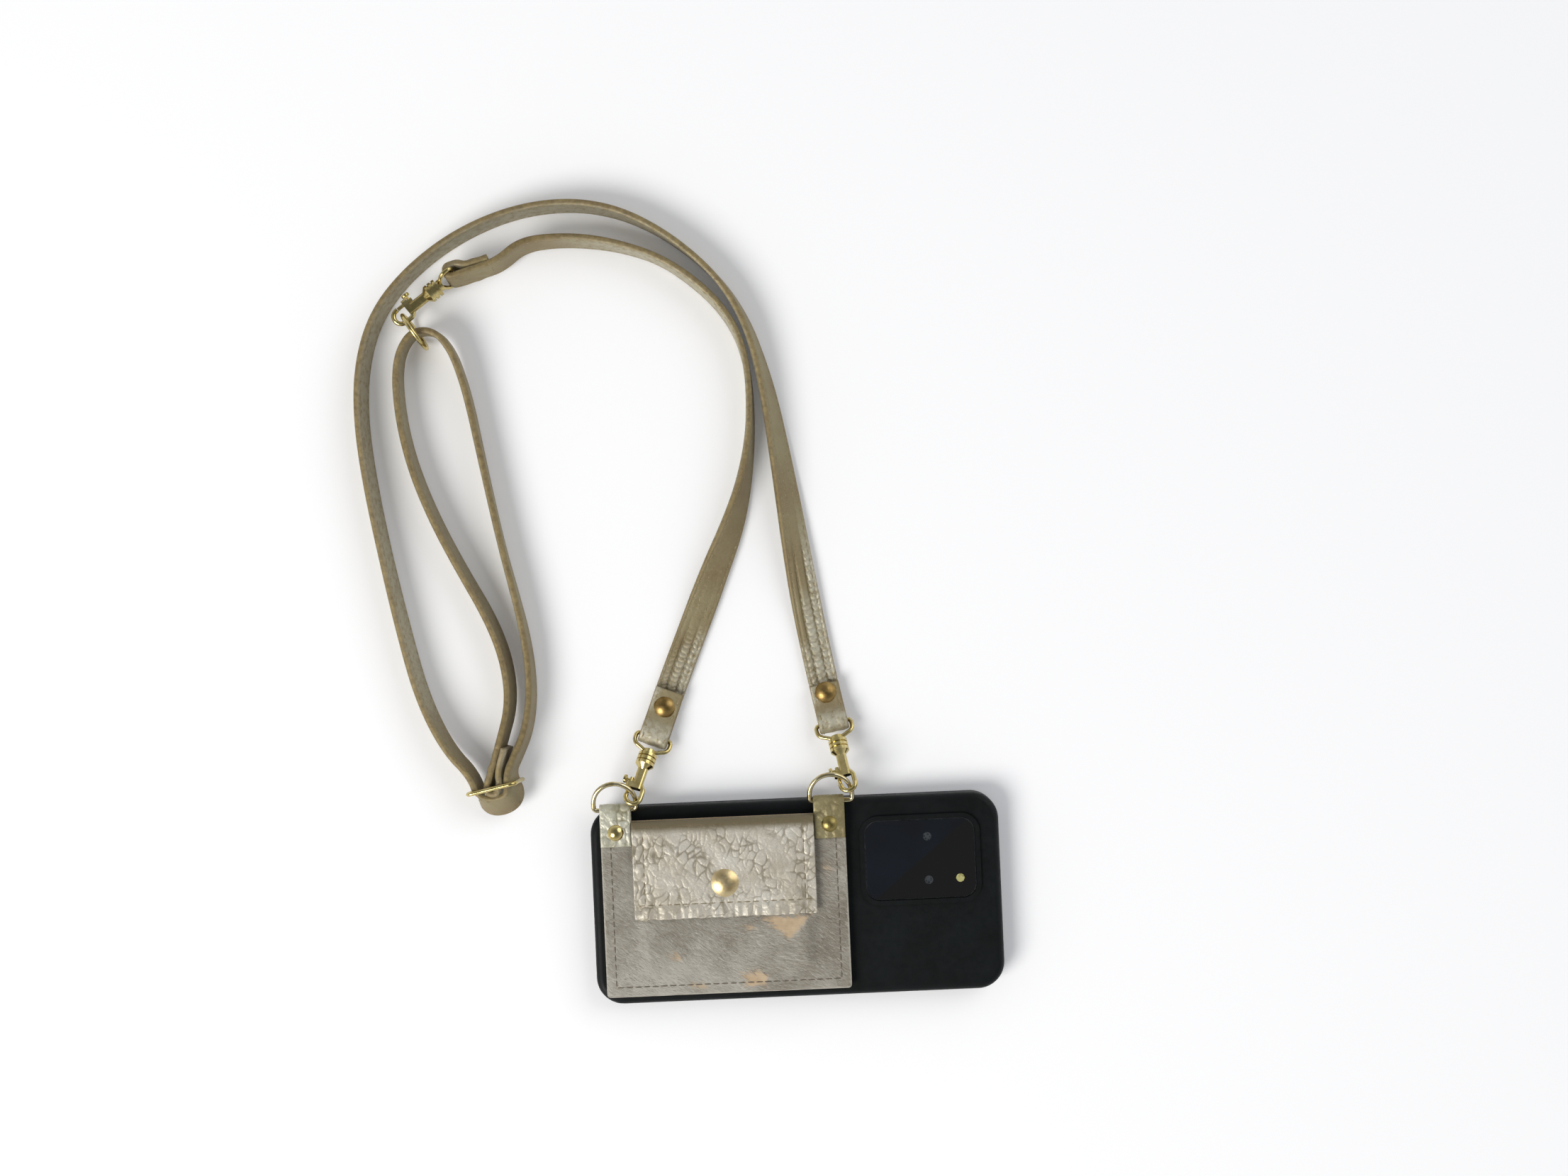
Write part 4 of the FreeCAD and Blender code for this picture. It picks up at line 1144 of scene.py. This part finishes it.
def flap_top(x, y):
    """Swell of the flap, calm round its snap, sunk along its seams and puckered outside them."""
    side, up = min(x - flap_low.x, flap_high.x - x), y - flap_low.y
    snap_x, snap_y = (snap_low.x + snap_high.x) / 2, (snap_low.y + snap_high.y) / 2
    calm = 1 - bell(math.hypot(x - snap_x, y - snap_y), 0, snap_calm)
    calm *= 1 - smooth(flap_high.y - fold_calm, flap_high.y, y)
    full = flap_swell * smooth(0, flap_swell_reach, min(side, up))
    full += flap_wave * ripple(x, y, 75, 4)
    bottom = up - flap_bottom_seam
    seam = bell(side, flap_side_seam, flap_seam_width) * smooth(-0.0005, 0.0005, bottom)
    seam = max(bell(bottom, 0, flap_seam_width), seam)
    below = 1 - smooth(-0.0022, -0.0004, bottom)
    below *= pucker_below
    beside = 1 - smooth(flap_side_seam - 0.0018, flap_side_seam - 0.0004, side)
    beside *= pucker_beside
    pucker = below * swell(x, y * 0.2, 420, 6)
    pucker += beside * swell(x * 0.25, y, 420, 7)
    curl = curl_height * (1 - smooth(0, curl_reach, up))
    curl *= 0.6 + swell(x, 0, 160, 9)
    sunk = flap_seam_depth * seam + crease_depth * flap_crease(x, y)
    return flap_high.z + (full + pucker - sunk) * calm + max(curl, 0)


def make_flap():
    mesh = leather_sheet("flap", flap_low, flap_high, flap_corner, flap_top, flap_leather,
                         {"fold": flap_fold_shade, "crease": flap_crease}, flap_step)
    for vertex in mesh.vertices:
        free = 1 - smooth(0, flap_bottom_seam, vertex.co.y - flap_low.y)
        wave = swell(vertex.co.x, 0, 300, 3)
        vertex.co.y += flap_scallop * free * wave
    piece = new_object("flap_leather", mesh, flap_look, "flap")
    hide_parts("flap")
    make_sheet("flap_lining", "_suede", lining_look, "flap", flap_corner,
               lambda x, y: flap_top(x, y) - flap_leather, lining_high.z - lining_low.z, {})


def make_fold():
    """Fold of the flap over the pocket's mouth, from its sewn end inside to the flap."""
    middle = (root_low.z + root_high.z) / 2
    reach = (root_high.z - root_low.z) / 2 - flap_leather / 2
    axis_y = flap_high.y
    centre_x = (root_low.x + root_high.x) / 2
    line = [(root_low.y, -reach), (axis_y - tongue_start, -reach), (axis_y + reach, -reach),
            (axis_y + reach, reach), (axis_y - fold_overlap, reach)]
    points, _ = smooth_line("flap_root", [(centre_x, y, middle + z, 0) for y, z in line])
    frames = flat_frames(points, Vector((-1, 0, 0)))
    section = band_section(root_high.x - root_low.x, flap_leather, fold_columns)
    # Painted shade: the whole fold takes the dark colour
    mesh = sweep("flap_root", frames, section, fold_relief, {"fold": lambda *place: 1.0})
    wide, narrow = [axis_y - inside for inside in tongue_taper]
    for vertex in mesh.vertices:
        inside = smooth(wide, narrow, vertex.co.y) * (vertex.co.z < middle)
        vertex.co.x = centre_x + (vertex.co.x - centre_x) * (1 - tongue_narrower * inside)
    piece = new_object("flap_fold_leather", mesh, flap_look, None)
    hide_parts("flap_root")
    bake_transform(piece)


def fold_relief(run, place, face):
    return fold_wave * ripple(place * 140, run * 200, 1, face)


# Tabs
def make_tab(name, look):
    """Leather strip folded round the bar of a ring, puckered at its rivet."""
    low, high = corners(name)
    rivet_low, rivet_high = corners(name + "_rivet")
    centre_x = (low.x + high.x) / 2
    reach = (high.z - low.z) / 2 - tab_leather / 2
    middle = (low.z + high.z) / 2
    bend = high.y - tab_leather / 2
    rivet_y = (rivet_low.y + rivet_high.y) / 2
    line = [(low.y, -reach), (bend - tab_bend, -reach), (bend, -reach), (bend, reach),
            (bend - tab_bend, reach), (low.y, reach)]
    points, _ = smooth_line(name, [(centre_x, y, middle + z, 0) for y, z in line])
    frames = flat_frames(points, Vector((-1, 0, 0)))
    last = line_length(points)

    def wrinkles(run, place, face):
        return crease(place, run, centre_x * 100 + face)

    def relief(run, place, face):
        ahead = last - run - (rivet_y - low.y)
        away = math.hypot(place, ahead)
        pucker = tab_pucker * math.sin(tab_puckers * math.atan2(place, ahead))
        pucker *= bell(away, 0.0045, 0.002)
        wave = tab_wave * ripple(place, run, 210, 5 + face)
        sunk = crease_depth * wrinkles(run, place, face)
        return (wave + pucker - sunk) * smooth(*tab_rivet_clear, away)
    section = band_section(high.x - low.x, tab_leather, tab_columns)
    mesh = sweep(name, frames, section, relief, {"crease": wrinkles})
    piece = new_object(name + "_leather", mesh, look, "pouch")
    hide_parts(name)


# Stitch rows on the pouch
def stitch_line(start, end, top):
    """Stitches along a level line on a shaped sheet."""
    start, end = Vector(start), Vector(end)
    run = end - start
    count = round(run.length / row_pitch)
    stitches = []
    for step in range(count):
        place = start + run * ((step + 0.5) / count)
        spot = Vector((place.x, place.y, top(place.x, place.y)))
        ahead = place + run.normalized() * 0.001
        along = Vector((ahead.x, ahead.y, top(ahead.x, ahead.y))) - spot
        stitches.append((spot, along.normalized(), UP, row_length))
    return stitches


def seam_rows(left, right, low, high, top, over=0.0):
    """Stitches down one side of a sheet, along its bottom and up its other side."""
    rows = stitch_line((left, high), (left, low), top)
    rows += stitch_line((left - over, low), (right + over, low), top)
    return rows + stitch_line((right, low), (right, high), top)


def on_hair(x, y):
    return front_top(x, y) + hair_lift


def make_pouch_stitches():
    left, right = front_low.x + panel_seam, front_high.x - panel_seam
    low, high = front_low.y + panel_seam, front_high.y - panel_row_end
    rows = seam_rows(left, right, low, high, on_hair)
    stitch_object("panel_stitches", rows, thread_look, "pouch")
    left, right = flap_low.x + flap_side_seam, flap_high.x - flap_side_seam
    low, high = flap_low.y + flap_bottom_seam, flap_high.y - flap_row_end
    rows = seam_rows(left, right, low, high, flap_top, flap_row_over)
    stitch_object("flap_stitches", rows, flap_thread_look, "flap")


make_panels()
make_hair()
make_flap()
make_fold()
make_tab("left_tab",
         crinkled_leather("tab_silver_leather", "b3b09a", "d3d1c1", "746c49", 0.35, 0.7))
make_tab("right_tab", crinkled_leather("tab_gold_leather", "857a55", "a0966f", "655b3a", 0.4, 0.5))
make_pouch_stitches()

# Finishes of the hard pieces
hard_looks = {
    **dict.fromkeys(("phone_body", "snap_stud", "snap_base", "snap_socket"), steel_look),
    **dict.fromkeys(("left_ring", "right_ring"), pale_gold_look),
    **dict.fromkeys(("left_strap_rivet", "right_strap_rivet"), brass_look),
    "phone_case": case_material(),
    "screen_glass": plain_glass(),
    "camera_window": window_material(),
    "camera_lenses": lens_material("lens_dark", "101316", "3a3d40"),
    "camera_flash": lens_material("flash_yellow", "77733f", "b3ae74"),
    "snap_cap": metal_material("champagne_plate", "cfb682", "e8d5a8", 0.28, 0.40),
    "right_tab_rivet": metal_material("dull_gold_plate", "8a7b48", "aa9a63", 0.30, 0.44),
}
for node, part in record_nodes.items():
    for slot in part.material_slots:
        slot.material = hard_looks.get(node, gold_look)
